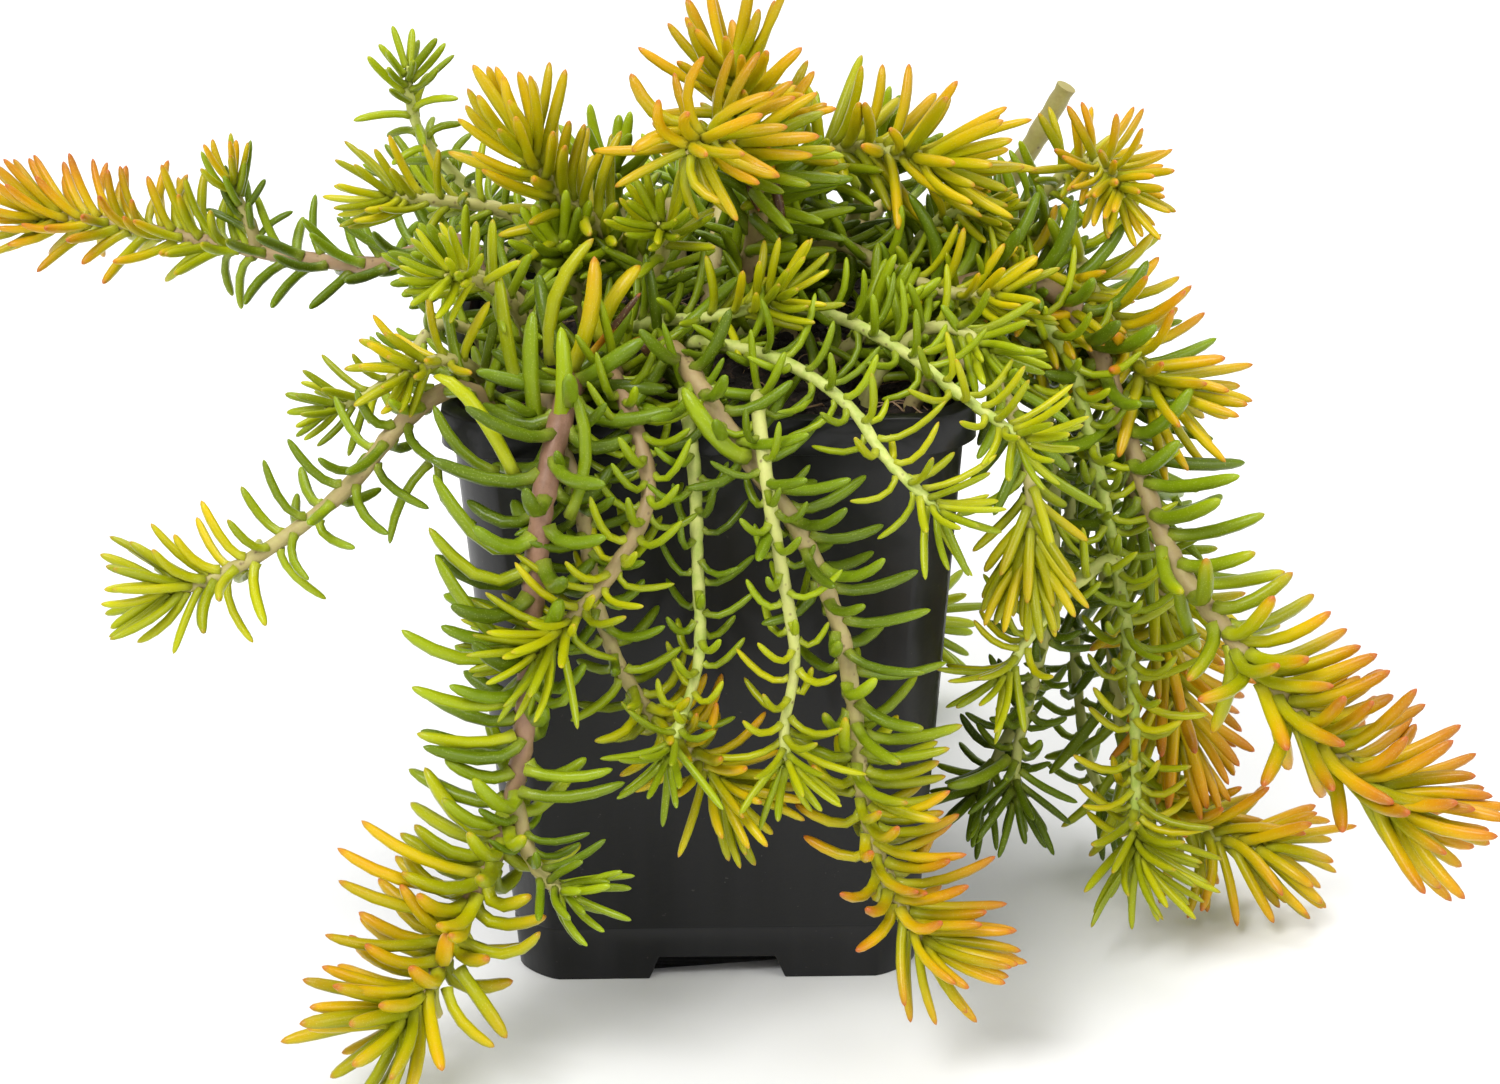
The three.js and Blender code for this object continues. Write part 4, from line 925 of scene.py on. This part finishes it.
def plastic_material(settings):
    """Moulded black plastic: faint upright streaks, partly painted sheen, and a little dust."""
    material, plastic = new_material("Black plastic")
    place = plastic.place()
    upright = plastic.add("Mapping", {"Vector": place, "Scale": (160, 160, 3)}).outputs["Vector"]
    streaks = plastic.noise(upright, 1.0, 3.0, 0.55)
    grain = plastic.noise(place, 900.0, 3.0, 0.6)
    black = tuple(settings.plastic)
    # The paler upright bands are partly streaks in the plastic and partly painted sheen
    streak_and_painted_sheen = tuple(part * 3.2 for part in black)
    colour = plastic.ramp(streaks, (0.35, black), (0.75, streak_and_painted_sheen))
    specks = plastic.fade(plastic.noise(place, 700.0, 2.0, 0.8), (0.70, 0.0), (0.80, settings.dust))
    plastic.surface({
        "Base Color": plastic.mixed(specks, colour, (0.22, 0.20, 0.18)),
        "Roughness": plastic.ranged(streaks, settings.sheen - 0.08, settings.sheen + 0.12, 0.3, 0.7),
        "Normal": plastic.relief(plastic.figure("MULTIPLY_ADD", streaks, 4.0, grain), 0.25, 0.0001),
        "Specular IOR Level": 0.27,
        "Coat Weight": 0.14,
        "Coat Roughness": 0.12,
    })
    return material


def peat_material(settings):
    """Damp peat, nearly black in its hollows and paler on its crumbs: partly its own colour, partly painted
    shade in the hollows and painted highlight on the crumbs.
    """
    material, peat = new_material("Damp peat")
    crumbs = peat.noise(peat.place(), 380.0, 6.0, 0.75)
    # Painted shade and highlight: the noise that raises the crumbs also darkens the hollows and lightens the
    # tops
    stops = [(place, tuple(part * share for part in settings.peat))
             for place, share in ((0.35, 0.35), (0.55, 1), (0.72, 6))]
    colour = peat.ramp(crumbs, *stops)
    peat.surface({"Base Color": colour, "Roughness": 0.85, "Normal": peat.relief(crumbs, 0.9, 0.0012)})
    return material


def fibre_material():
    """Dry fine roots, from brown to straw."""
    material, fibre = new_material("Root fibre")
    shade = fibre.noise(fibre.place(), 150.0, 2.0, 0.5)
    colour = fibre.ramp(shade, (0.35, (0.11, 0.055, 0.028)), (0.65, (0.50, 0.33, 0.18)))
    fibre.surface({"Base Color": colour, "Roughness": 0.7})
    return material


def floor_material(settings):
    material, floor = new_material("Pale floor")
    floor.surface({"Base Color": settings.floor, "Roughness": 0.9, "Specular IOR Level": 0.1})
    return material


# Making pieces

def select_only(ob):
    if bpy.context.mode != "OBJECT":
        bpy.ops.object.mode_set(mode="OBJECT")
    bpy.ops.object.select_all(action="DESELECT")
    ob.select_set(True)
    bpy.context.view_layer.objects.active = ob


def clear_selection():
    if bpy.context.object and bpy.context.mode != "OBJECT":
        bpy.ops.object.mode_set(mode="OBJECT")
    bpy.ops.object.select_all(action="DESELECT")


def place_in_mesh(ob):
    select_only(ob)
    bpy.ops.object.transform_apply(location=True, rotation=True, scale=True)


def pick(ob, rule, kind="FACE"):
    """Selects the faces, edges or corners that a rule holds for, in edit mode."""
    bpy.ops.object.mode_set(mode="EDIT")
    bpy.ops.mesh.select_mode(type=kind)
    bpy.ops.mesh.select_all(action="DESELECT")
    mesh = bmesh.from_edit_mesh(ob.data)
    items = {"FACE": mesh.faces, "EDGE": mesh.edges, "VERT": mesh.verts}[kind]
    for item in items:
        if rule(item):
            item.select_set(True)
    mesh.select_flush_mode()
    bmesh.update_edit_mesh(ob.data)


def flag_attributes(ob, **values):
    """Gives every corner of a mesh the same named values."""
    for name, value in values.items():
        attribute = ob.data.attributes.new(name, "FLOAT", "POINT")
        attribute.data.foreach_set("value", np.broadcast_to(
            np.asarray(value, np.float32), len(ob.data.vertices)).copy())


def leaf_pattern():
    """One straight leaf a unit long and a unit in half width, extruded ring by ring to its point."""
    clear_selection()
    first = LEAF_PROFILE[0]
    bpy.ops.mesh.primitive_circle_add(vertices=LEAF_SIDES, radius=first[1], fill_type="NGON")
    ob = bpy.context.object
    ob.name = "leaf_pattern"
    bpy.ops.object.mode_set(mode="EDIT")
    bpy.ops.mesh.select_all(action="SELECT")
    last = first
    for share, half in LEAF_PROFILE[1:]:
        bpy.ops.mesh.extrude_region_move(TRANSFORM_OT_translate={"value": (0, 0, share - last[0])})
        bpy.ops.transform.resize(value=(half / last[1], half / last[1], 1))
        last = (share, half)
    bpy.ops.mesh.extrude_region_move(TRANSFORM_OT_translate={"value": (0, 0, 1 - last[0])})
    bpy.ops.mesh.merge(type="CENTER")
    bpy.ops.mesh.select_all(action="SELECT")
    bpy.ops.mesh.normals_make_consistent(inside=False)
    bpy.ops.object.mode_set(mode="OBJECT")
    corners = np.array([v.co[:] for v in ob.data.vertices])
    faces = [tuple(p.vertices) for p in ob.data.polygons]
    bpy.data.objects.remove(ob)
    return corners, faces


def copied_faces(faces, corner_count, copies):
    """The faces of a shape and of its copies, numbered on from copy to copy."""
    return [tuple(i + number * corner_count for i in face) for number in range(copies) for face in faces]


def bent_leaves(pattern, leaves, plumpness):
    """Copies of the pattern, each bent along its leaf's line, as corners, faces and values."""
    corners, faces = pattern
    share = corners[:, 2]
    light = unit(np.array(PAINTED_LIGHT_FROM))
    points, along, warmth, tone = [], [], [], []
    for leaf in leaves:
        root, bend, tip = leaf["line"]
        at = even_steps(leaf["line"], share)
        centre = along_line(leaf["line"], at)
        heading = 2 * (1 - at)[:, None] * (bend - root) + 2 * at[:, None] * (tip - bend)
        heading /= np.linalg.norm(heading, axis=1)[:, None]
        plane = np.cross(bend - root, tip - bend)
        if np.linalg.norm(plane) < 0.05 * leaf["length"]:
            plane = np.cross(bend - root, (0.2, 0.3, 1))
        plane = unit(plane)
        flat = np.cross(heading, plane)
        half = leaf["width"] / 2 * plumpness
        section = corners[:, :1] * plane + corners[:, 1:2] * flat * LEAF_FLATNESS
        points.append(centre + section * half)
        along.append(share)
        # Painted light: the side of each leaf that faces the key light is made warmer, and so paler
        painted_light_warmth = PAINTED_LIGHT_SIDE * (section @ light) * (PAINTED_LIGHT_SIDE_LEAST + leaf["warmth"])
        ripe_and_painted_light_warmth = leaf["warmth"] + painted_light_warmth + leaf["ripe"] * share ** RIPE_CURVE
        warmth.append(np.minimum(ripe_and_painted_light_warmth, max(leaf["warmth"], WARMEST)))
        tone.append(np.full(len(share), leaf["tone"]))
    values = dict(along=np.concatenate(along), warmth=np.concatenate(warmth), tone=np.concatenate(tone))
    return np.vstack(points), copied_faces(faces, len(corners), len(leaves)), values


def mesh_object(name, corners, faces, material, **values):
    data = bpy.data.meshes.new(name)
    data.from_pydata((np.asarray(corners) * MM).tolist(), [], faces)
    data.update()
    ob = bpy.data.objects.new(name, data)
    bpy.context.scene.collection.objects.link(ob)
    data.materials.append(material)
    flag_attributes(ob, **values)
    return ob


def round_curve(name, resolution):
    """An empty curve that is round in section, with each point's radius in millimetres."""
    curve = bpy.data.curves.new(name, "CURVE")
    curve.dimensions = "3D"
    curve.bevel_depth = MM
    curve.bevel_resolution = resolution
    curve.use_fill_caps = True
    return curve


def curve_object(name, curve, material):
    """A finished curve made a smooth mesh."""
    ob = bpy.data.objects.new(name, curve)
    bpy.context.scene.collection.objects.link(ob)
    select_only(ob)
    bpy.ops.object.convert(target="MESH")
    ob = bpy.context.object
    ob.data.materials.clear()
    ob.data.materials.append(material)
    bpy.ops.object.shade_smooth()
    return ob


def tube_object(name, s, low, high, material):
    """A stem's own tube between two distances from its foot."""
    count = max(4, int((high - low) / RING_LENGTH))
    curve = round_curve(name, 3)
    line = curve.splines.new("POLY")
    line.points.add(count)
    distances = np.linspace(low, high, count + 1)
    wobble = Draws(len(name) * 7 + 3)
    bark = s["finish"] == "bark"
    for point, distance in zip(line.points, distances):
        place, _, _, radius = place_on(s, distance)
        point.co = (*(place * MM), 1)
        taper = 1 - TAPER * smooth(1 - (s["length"] - distance) / TAPER_OVER) * (not bark)
        slim = mix(YOUNG_WIDTH, 1.0, s["old"])
        point.radius = radius * slim * taper * wobble.between(*UNEVEN)
    ob = curve_object(name, curve, material)
    places = np.array([v.co[:] for v in ob.data.vertices]) / MM
    line_points = np.array([place_on(s, distance)[0] for distance in distances])
    nearest = np.linalg.norm(places[:, None] - line_points[None], axis=2).argmin(axis=1)
    age = np.clip(s["old"] * (AGE_AT_FOOT - AGE_LOST * distances[nearest] / s["length"]), 0.02, 1)
    if bark:
        age[:] = BARK_AGE
    flag_attributes(ob, along=0.0, warmth=age, tone=BARK_TONE if bark else 0.0)
    return ob


def join_pieces(obs, name):
    select_only(obs[0])
    for ob in obs[1:]:
        ob.select_set(True)
    if len(obs) > 1:
        bpy.ops.object.join()
    piece = bpy.context.object
    piece.name = name
    piece.data.name = name
    return piece


def laid_stems():
    laid = [lay_stem(row, index) for index, row in enumerate(STEMS)]
    bend_clear(laid)
    for s in laid:
        settle(s)
    return laid


def leaf_warmth(s, leaf):
    """Leaves are warmest near their stem's tip and on the side that faces the light."""
    begin = s["length"] - s["gold"] - WARM_BEFORE_HEAD if s["gold"] else s["length"] * PLAIN_SHARE
    place = smooth((leaf["distance"] - begin) / max(WARM_TIP / 2, s["length"] - begin - WARM_TIP))
    warmth = mix(s["cool"], s["glow"], place)
    facing = unit(leaf["line"][2] - leaf["line"][0])[2]
    return warmth + LIT_WARMTH * facing * clamp01(warmth + LIT_LEAST) - INNER_GREEN * leaf["head"]


class STONECROP_OT_pot(bpy.types.Operator):
    """Model the square nursery pot with its rim band, notched skirt and drain holes"""
    bl_idname = "stonecrop.pot"
    bl_label = "Pot"

    def execute(self, context):
        settings = context.scene.stonecrop_pot
        top = (POT_HEIGHT - RIM_BAND) * MM
        clear_selection()
        bpy.ops.mesh.primitive_cube_add(size=1, location=(0, 0, top / 2))
        pot = context.object
        pot.name = "nursery_pot"
        bpy.ops.transform.resize(value=(FOOT_WIDTH * MM, FOOT_WIDTH * MM, top))
        place_in_mesh(pot)
        pick(pot, lambda f: f.normal.z > 0.9)
        spread = BODY_TOP_WIDTH / FOOT_WIDTH
        bpy.ops.transform.resize(value=(spread, spread, 1), center_override=(0, 0, top))
        pick(pot, lambda e: abs(e.verts[0].co.z - e.verts[1].co.z) > 0.01, "EDGE")
        bpy.ops.mesh.bevel(offset=CORNER_RADIUS * MM, segments=8, profile=CORNER_PROFILE, affect="EDGES")
        self.seam(pot)
        # Rim band: out over the wall, up, in over the rim, and down to the floor of the cavity
        pick(pot, lambda f: f.normal.z > 0.9)
        floor_top = FLOOR_UNDERSIDE + FLOOR_THICKNESS
        self.extrude_rings(BODY_TOP_WIDTH, POT_HEIGHT - RIM_BAND, (
            (RIM_WIDTH, 0),
            (RIM_WIDTH, RIM_BAND),
            (2 * cavity_half_width(POT_HEIGHT), 0),
            (2 * cavity_half_width(floor_top), floor_top - POT_HEIGHT),
        ))
        # Hollow under the floor
        pick(pot, lambda f: f.normal.z < -0.9 and f.calc_center_median().z < MM)
        self.extrude_rings(FOOT_WIDTH, 0, (
            (2 * cavity_half_width(0), 0),
            (2 * cavity_half_width(FLOOR_UNDERSIDE), FLOOR_UNDERSIDE),
        ))
        bpy.ops.mesh.select_all(action="SELECT")
        bpy.ops.mesh.remove_doubles(threshold=1e-6)
        bpy.ops.mesh.normals_make_consistent(inside=False)
        bpy.ops.object.mode_set(mode="OBJECT")
        for cutter in self.cutters():
            cut = pot.modifiers.new("cut", "BOOLEAN")
            cut.object = cutter
            cut.operation = "DIFFERENCE"
            cut.solver = "EXACT"
            select_only(pot)
            bpy.ops.object.modifier_apply(modifier=cut.name)
            bpy.data.objects.remove(cutter)
        soften = pot.modifiers.new("soften", "BEVEL")
        soften.width = settings.edge
        soften.segments = 2
        soften.limit_method = "ANGLE"
        soften.angle_limit = math.radians(35)
        soften.harden_normals = False
        select_only(pot)
        bpy.ops.object.modifier_apply(modifier=soften.name)
        bpy.ops.object.shade_smooth_by_angle(angle=math.radians(35))
        pot.data.materials.clear()
        pot.data.materials.append(plastic_material(settings))
        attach(pot, "root")
        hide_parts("pot")
        return {"FINISHED"}

    def extrude_rings(self, width, height, rings):
        """Takes the selected faces from a width and height through rings, each a width and a rise."""
        for ring, rise in rings:
            height += rise
            bpy.ops.mesh.extrude_region_move(TRANSFORM_OT_translate={"value": (0, 0, rise * MM)})
            bpy.ops.transform.resize(value=(ring / width, ring / width, 1),
                                     center_override=(0, 0, height * MM))
            width = ring

    def seam(self, pot):
        """A shallow groove that runs round the foot of the walls."""
        for height in (SEAM_HEIGHT - SEAM_WIDTH / 2, SEAM_HEIGHT, SEAM_HEIGHT + SEAM_WIDTH / 2):
            bpy.ops.mesh.select_all(action="SELECT")
            bpy.ops.mesh.bisect(plane_co=(0, 0, height * MM), plane_no=(0, 0, 1))
        middle = SEAM_HEIGHT * MM
        pick(pot, lambda v: abs(v.co.z - middle) < 1e-5, "VERT")
        inward = 1 - 2 * SEAM_DEPTH / (2 * pot_half_width(SEAM_HEIGHT))
        bpy.ops.transform.resize(value=(inward, inward, 1), center_override=(0, 0, middle))

    def cutters(self):
        """The tapered notch through each pair of walls, and the drain holes."""
        made = []
        below = 2
        reach = FOOT_WIDTH * 1.3
        for turn in (0, math.pi / 2):
            clear_selection()
            bpy.ops.mesh.primitive_cube_add(size=1, location=(0, 0, (NOTCH_HEIGHT - below) / 2 * MM))
            bar = bpy.context.object
            bpy.ops.transform.resize(value=(NOTCH_WIDTH * MM, reach * MM, (NOTCH_HEIGHT + below) * MM))
            place_in_mesh(bar)
            pick(bar, lambda f: f.normal.z > 0.9)
            bpy.ops.transform.resize(value=(NOTCH_TOP_WIDTH / NOTCH_WIDTH, 1, 1),
                                     center_override=(0, 0, NOTCH_HEIGHT * MM))
            bpy.ops.object.mode_set(mode="OBJECT")
            if turn:
                bar.rotation_euler.z = turn
                place_in_mesh(bar)
            made.append(bar)
        for x, y in ((0, 0), (1, 1), (-1, 1), (-1, -1), (1, -1)):
            clear_selection()
            bpy.ops.mesh.primitive_cylinder_add(
                vertices=24, radius=DRAIN_RADIUS * MM, depth=FLOOR_THICKNESS * 3 * MM,
                location=(x * DRAIN_OFFSET * MM, y * DRAIN_OFFSET * MM,
                          (FLOOR_UNDERSIDE + FLOOR_THICKNESS / 2) * MM))
            place_in_mesh(bpy.context.object)
            made.append(bpy.context.object)
        return made


class STONECROP_OT_soil(bpy.types.Operator):
    """Model the mounded soil with its crumbs and fine roots"""
    bl_idname = "stonecrop.soil"
    bl_label = "Soil"

    def execute(self, context):
        settings = context.scene.stonecrop_soil
        peat = peat_material(settings)
        bottom = FLOOR_UNDERSIDE + FLOOR_THICKNESS + GAP
        half = cavity_half_width(SOIL_EDGE_LEVEL) - GAP
        clear_selection()
        bpy.ops.mesh.primitive_grid_add(x_subdivisions=SOIL_CUTS, y_subdivisions=SOIL_CUTS,
                                        size=2 * half * MM, location=(0, 0, SOIL_EDGE_LEVEL * MM))
        soil = context.object
        soil.name = "soil_ball"
        place_in_mesh(soil)
        corner = CORNER_RADIUS - WALL
        draws = Draws(77)
        for v in soil.data.vertices:
            x, y = v.co.x / MM, v.co.y / MM
            # Round the outline's corners
            over = Vector((max(0, abs(x) - (half - corner)), max(0, abs(y) - (half - corner))))
            if over.length > corner:
                over = over.normalized() * corner
                x = math.copysign(half - corner + over.x, x)
                y = math.copysign(half - corner + over.y, y)
            rough = draws.between(-SOIL_ROUGHNESS, SOIL_ROUGHNESS)
            v.co = (x * MM, y * MM, (soil_level(x, y) + rough) * MM)
        pick(soil, lambda e: e.is_boundary, "EDGE")
        bpy.ops.mesh.extrude_region_move(TRANSFORM_OT_translate={"value": (0, 0, -SKIRT * MM)})
        bpy.ops.object.mode_set(mode="OBJECT")
        floor_share = (cavity_half_width(bottom) - GAP) / half
        for v in soil.data.vertices:
            if v.co.z < (SOIL_EDGE_LEVEL - SKIRT / 2) * MM:
                v.co = (v.co.x * floor_share, v.co.y * floor_share, bottom * MM)
        pick(soil, lambda e: e.is_boundary, "EDGE")
        bpy.ops.mesh.edge_face_add()
        bpy.ops.mesh.select_all(action="SELECT")
        bpy.ops.mesh.normals_make_consistent(inside=False)
        bpy.ops.object.mode_set(mode="OBJECT")
        soil.data.materials.append(peat)
        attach(soil, "root")
        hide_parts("soil")
        self.crumbs(settings, peat)
        self.fibres(settings)
        return {"FINISHED"}

    def crumbs(self, settings, peat):
        """Loose crumbs: one rough lump, copied, turned and sized, half sunk in the soil."""
        clear_selection()
        bpy.ops.mesh.primitive_cube_add(size=1.6)
        lump = bpy.context.object
        bpy.ops.object.mode_set(mode="EDIT")
        bpy.ops.mesh.subdivide(number_cuts=1, smoothness=1.0)
        bpy.ops.object.mode_set(mode="OBJECT")
        draws = Draws(5)
        corners = np.array([v.co[:] for v in lump.data.vertices])
        corners *= np.array([draws.between(0.75, 1.25) for _ in corners])[:, None]
        faces = [tuple(p.vertices) for p in lump.data.polygons]
        bpy.data.objects.remove(lump)
        points = []
        reach = cavity_half_width(SOIL_EDGE_LEVEL) - 2
        inner = reach - CORNER_KEPT_FREE
        for _ in range(settings.crumbs):
            x, y = draws.between(-reach, reach), draws.between(-reach, reach)
            if math.hypot(max(0, abs(x) - inner), max(0, abs(y) - inner)) > CORNER_KEPT_FREE:
                x, y = x * 0.8, y * 0.8
            size = draws.between(*CRUMB_SIZE) ** 1.5
            turn = Matrix.Rotation(draws.between(0, 6.28), 3, "Z")
            tilt = Matrix.Rotation(draws.between(0, 3.14), 3, "X")
            shape = np.diag([size, size * draws.between(0.6, 1.0), size * draws.between(0.45, 0.8)])
            place = (x, y, soil_level(x, y) + CRUMB_SUNK * size)
            points.append(corners @ shape @ np.array(turn @ tilt) + place)
        copies = copied_faces(faces, len(corners), len(points))
        ob = mesh_object("soil_crumbs", np.vstack(points), copies, peat)
        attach(ob, "root")

    def fibres(self, settings):
        """Fine roots and bits of straw that lie on the soil and dip into it at both ends."""
        draws = Draws(91)
        curve = round_curve("root_fibres", 1)
        reach = cavity_half_width(SOIL_EDGE_LEVEL) - 3
        for _ in range(settings.fibres):
            x, y = draws.between(-reach, reach), draws.between(-reach, reach)
            heading = draws.between(0, 6.28)
            length = draws.between(*FIBRE_LENGTH)
            radius = draws.between(*FIBRE_RADIUS)
            line = curve.splines.new("POLY")
            line.points.add(FIBRE_STEPS)
            for i, point in enumerate(line.points):
                px, py = (max(-reach, min(reach, q)) for q in (x, y))
                rise = math.sin(math.pi * i / FIBRE_STEPS) * length * 0.08
                rise += FIBRE_ABOVE if 0 < i < FIBRE_STEPS else -FIBRE_ENDS_SUNK
                point.co = (px * MM, py * MM, (soil_level(px, py) + rise) * MM, 1)
                point.radius = radius * mix(1, 0.5, i / FIBRE_STEPS)
                heading += draws.between(-0.5, 0.5)
                x += math.cos(heading) * length / FIBRE_STEPS
                y += math.sin(heading) * length / FIBRE_STEPS
        ob = curve_object("root_fibres", curve, fibre_material())
        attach(ob, "root")


class STONECROP_OT_stems(bpy.types.Operator):
    """Grow every leafy stem and golden head along its line, leaf by leaf"""
    bl_idname = "stonecrop.stems"
    bl_label = "Leafy stems"

    def execute(self, context):
        settings = context.scene.stonecrop_leaves
        pattern = leaf_pattern()
        flesh = leaf_material(settings)
        skin = skin_material()
        groups = {}
        for s in laid_stems():
            self.dress(s, pattern, settings.plumpness, groups, flesh, skin)
        for node, (obs, finish) in groups.items():
            piece = join_pieces(obs, node.replace("stem_", "leafy_").replace("head_", "golden_"))
            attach(piece, "root")
            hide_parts(node)
        return {"FINISHED"}

    def dress(self, s, pattern, plumpness, groups, flesh, skin):
        """The tube and the leaves of one stem, added to the pieces that they belong to."""
        tones = Draws(s["draws"].state % 1000 + 5)
        leaves = grow_leaves(s)
        cut = s["length"] - s["gold"]
        owner = "stem_" + (s["joins"] or s["name"])
        stretches = [(owner, s["finish"], 0, cut if s["gold"] else s["length"])]
        if s["gold"]:
            stretches.append(("head_" + s["name"], "gold", cut, s["length"]))
        for node, finish, low, high in stretches:
            own = []
            for leaf in leaves:
                if low <= leaf["distance"] < high and leaf["kept"] and self.shape(s, leaf, tones):
                    own.append(leaf)
            if not s["joins"]:
                own += self.placed(node, tones)
            obs = [tube_object(node, s, low, high, skin)]
            if own:
                points, faces, values = bent_leaves(pattern, own, plumpness)
                ob = mesh_object(node + "_leaves", points, faces, flesh, **values)
                select_only(ob)
                bpy.ops.object.shade_smooth()
                obs.append(ob)
            if node in groups:
                groups[node][0].extend(obs)
            else:
                groups[node] = (obs, finish)

    def shape(self, s, leaf, tones):
        """Gives a leaf its line and colour, and tells whether it finds a clear place."""
        leaf["tone"] = tones.next()
        stray = mix(*STRAY, leaf["head"])
        leaf["stray"] = np.array([tones.between(-stray, stray) for _ in range(3)])
        leaf["bend"] = tones.between(*BEND_SHARE) + HEAD_BEND * leaf["head"]
        leaf["follows"] = tones.between(*FOLLOWS)
        leaf["line"] = settle_leaf(s, leaf)
        if leaf["line"] is None:
            return False
        leaf["warmth"] = leaf_warmth(s, leaf)
        near_tip = smooth(leaf["distance"] / s["length"] * 2 - 0.5)
        leaf["ripe"] = s["ripe"] * near_tip * (1 - leaf["head"] / 2)
        return True

    def placed(self, node, tones):
        """The leaves of one piece that are placed singly."""
        own = []
        for root, bend, tip, width, warmth in PLACED_LEAVES.get(node, ()):
            line = [np.array(place, float) for place in (root, bend, tip)]
            length = np.linalg.norm(line[1] - line[0]) + np.linalg.norm(line[2] - line[1])
            own.append(dict(line=line, width=width, length=length, warmth=warmth, ripe=0.0,
                            tone=tones.next()))
        return own


class STONECROP_OT_studio(bpy.types.Operator):
    """Set the pale floor, the soft lights and the camera of the photograph"""
    bl_idname = "stonecrop.studio"
    bl_label = "Studio"

    def execute(self, context):
        settings = context.scene.stonecrop_studio
        clear_selection()
        bpy.ops.mesh.primitive_plane_add(size=12, location=(0, 0, 0))
        floor = context.object
        floor.name = "floor"
        place_in_mesh(floor)
        floor.data.materials.append(floor_material(settings))

        world = bpy.data.worlds.new("Surroundings")
        world.use_nodes = True
        world.node_tree.nodes["Background"].inputs["Color"].default_value = (1, 1, 1, 1)
        world.node_tree.nodes["Background"].inputs["Strength"].default_value = settings.sky
        context.scene.world = world
        lights = (
            ("key_light", (-0.55, -0.9, 1.25), 0.7, settings.key),
            ("fill_light", (0.95, -0.75, 0.65), 0.8, settings.key * 0.35),
            ("top_light", (0.1, 0.45, 1.2), 0.9, settings.key * 0.45),
        )
        for name, place, size, power in lights:
            light = bpy.data.lights.new(name, "AREA")
            light.shape = "SQUARE"
            light.size = size
            light.energy = power
            ob = bpy.data.objects.new(name, light)
            ob.location = place
            ob.rotation_euler = (Vector((0, 0, 0.08)) - Vector(place)).to_track_quat("-Z", "Y").to_euler()
            context.scene.collection.objects.link(ob)
        self.camera(context)
        context.scene.view_settings.view_transform = "Standard"
        return {"FINISHED"}

    def camera(self, context):
        """Looks a little down on the pot's front, from as far away as the photograph's perspective tells."""
        target = Vector(CAMERA_TARGET) * MM
        down = math.radians(CAMERA_DOWN)
        view = bpy.data.cameras.new("camera")
        view.sensor_width = SENSOR_WIDTH
        view.lens = FOCAL_LENGTH / PHOTO_WIDTH * SENSOR_WIDTH
        ob = bpy.data.objects.new("camera", view)
        back = Vector((0, -math.cos(down), math.sin(down)))
        tilt = Matrix.Rotation(math.pi / 2 - down, 4, "X")
        roll = Matrix.Rotation(math.radians(CAMERA_ROLL), 4, "Z")
        ob.matrix_world = Matrix.Translation(target + back * CAMERA_AWAY * MM) @ tilt @ roll
        context.scene.collection.objects.link(ob)
        context.scene.camera = ob


class STONECROP_PT_panel(bpy.types.Panel):
    """Lists the plant's pieces and their settings"""
    bl_idname = "STONECROP_PT_panel"
    bl_label = "Potted stonecrop"
    bl_space_type = "VIEW_3D"
    bl_region_type = "UI"
    bl_category = "Stonecrop"

    def draw(self, context):
        for operator, settings in STEPS:
            box = self.layout.box()
            box.operator(operator)
            group = getattr(context.scene, settings)
            for name in group.__annotations__:
                box.prop(group, name)


STEPS = (
    ("stonecrop.studio", "stonecrop_studio"),
    ("stonecrop.pot", "stonecrop_pot"),
    ("stonecrop.soil", "stonecrop_soil"),
    ("stonecrop.stems", "stonecrop_leaves"),
)
SETTINGS = {
    "stonecrop_pot": PotSettings,
    "stonecrop_soil": SoilSettings,
    "stonecrop_leaves": LeafSettings,
    "stonecrop_studio": StudioSettings,
}
CLASSES = (*SETTINGS.values(), STONECROP_OT_pot, STONECROP_OT_soil, STONECROP_OT_stems,
           STONECROP_OT_studio, STONECROP_PT_panel)


def register():
    for cls in CLASSES:
        bpy.utils.register_class(cls)
    for name, settings in SETTINGS.items():
        setattr(bpy.types.Scene, name, bpy.props.PointerProperty(type=settings))


def unregister():
    for name in SETTINGS:
        delattr(bpy.types.Scene, name)
    for cls in reversed(CLASSES):
        bpy.utils.unregister_class(cls)


def main():
    register()
    bpy.ops.stonecrop.studio()
    bpy.ops.stonecrop.pot()
    bpy.ops.stonecrop.soil()
    bpy.ops.stonecrop.stems()


if __name__ == "__main__":
    main()
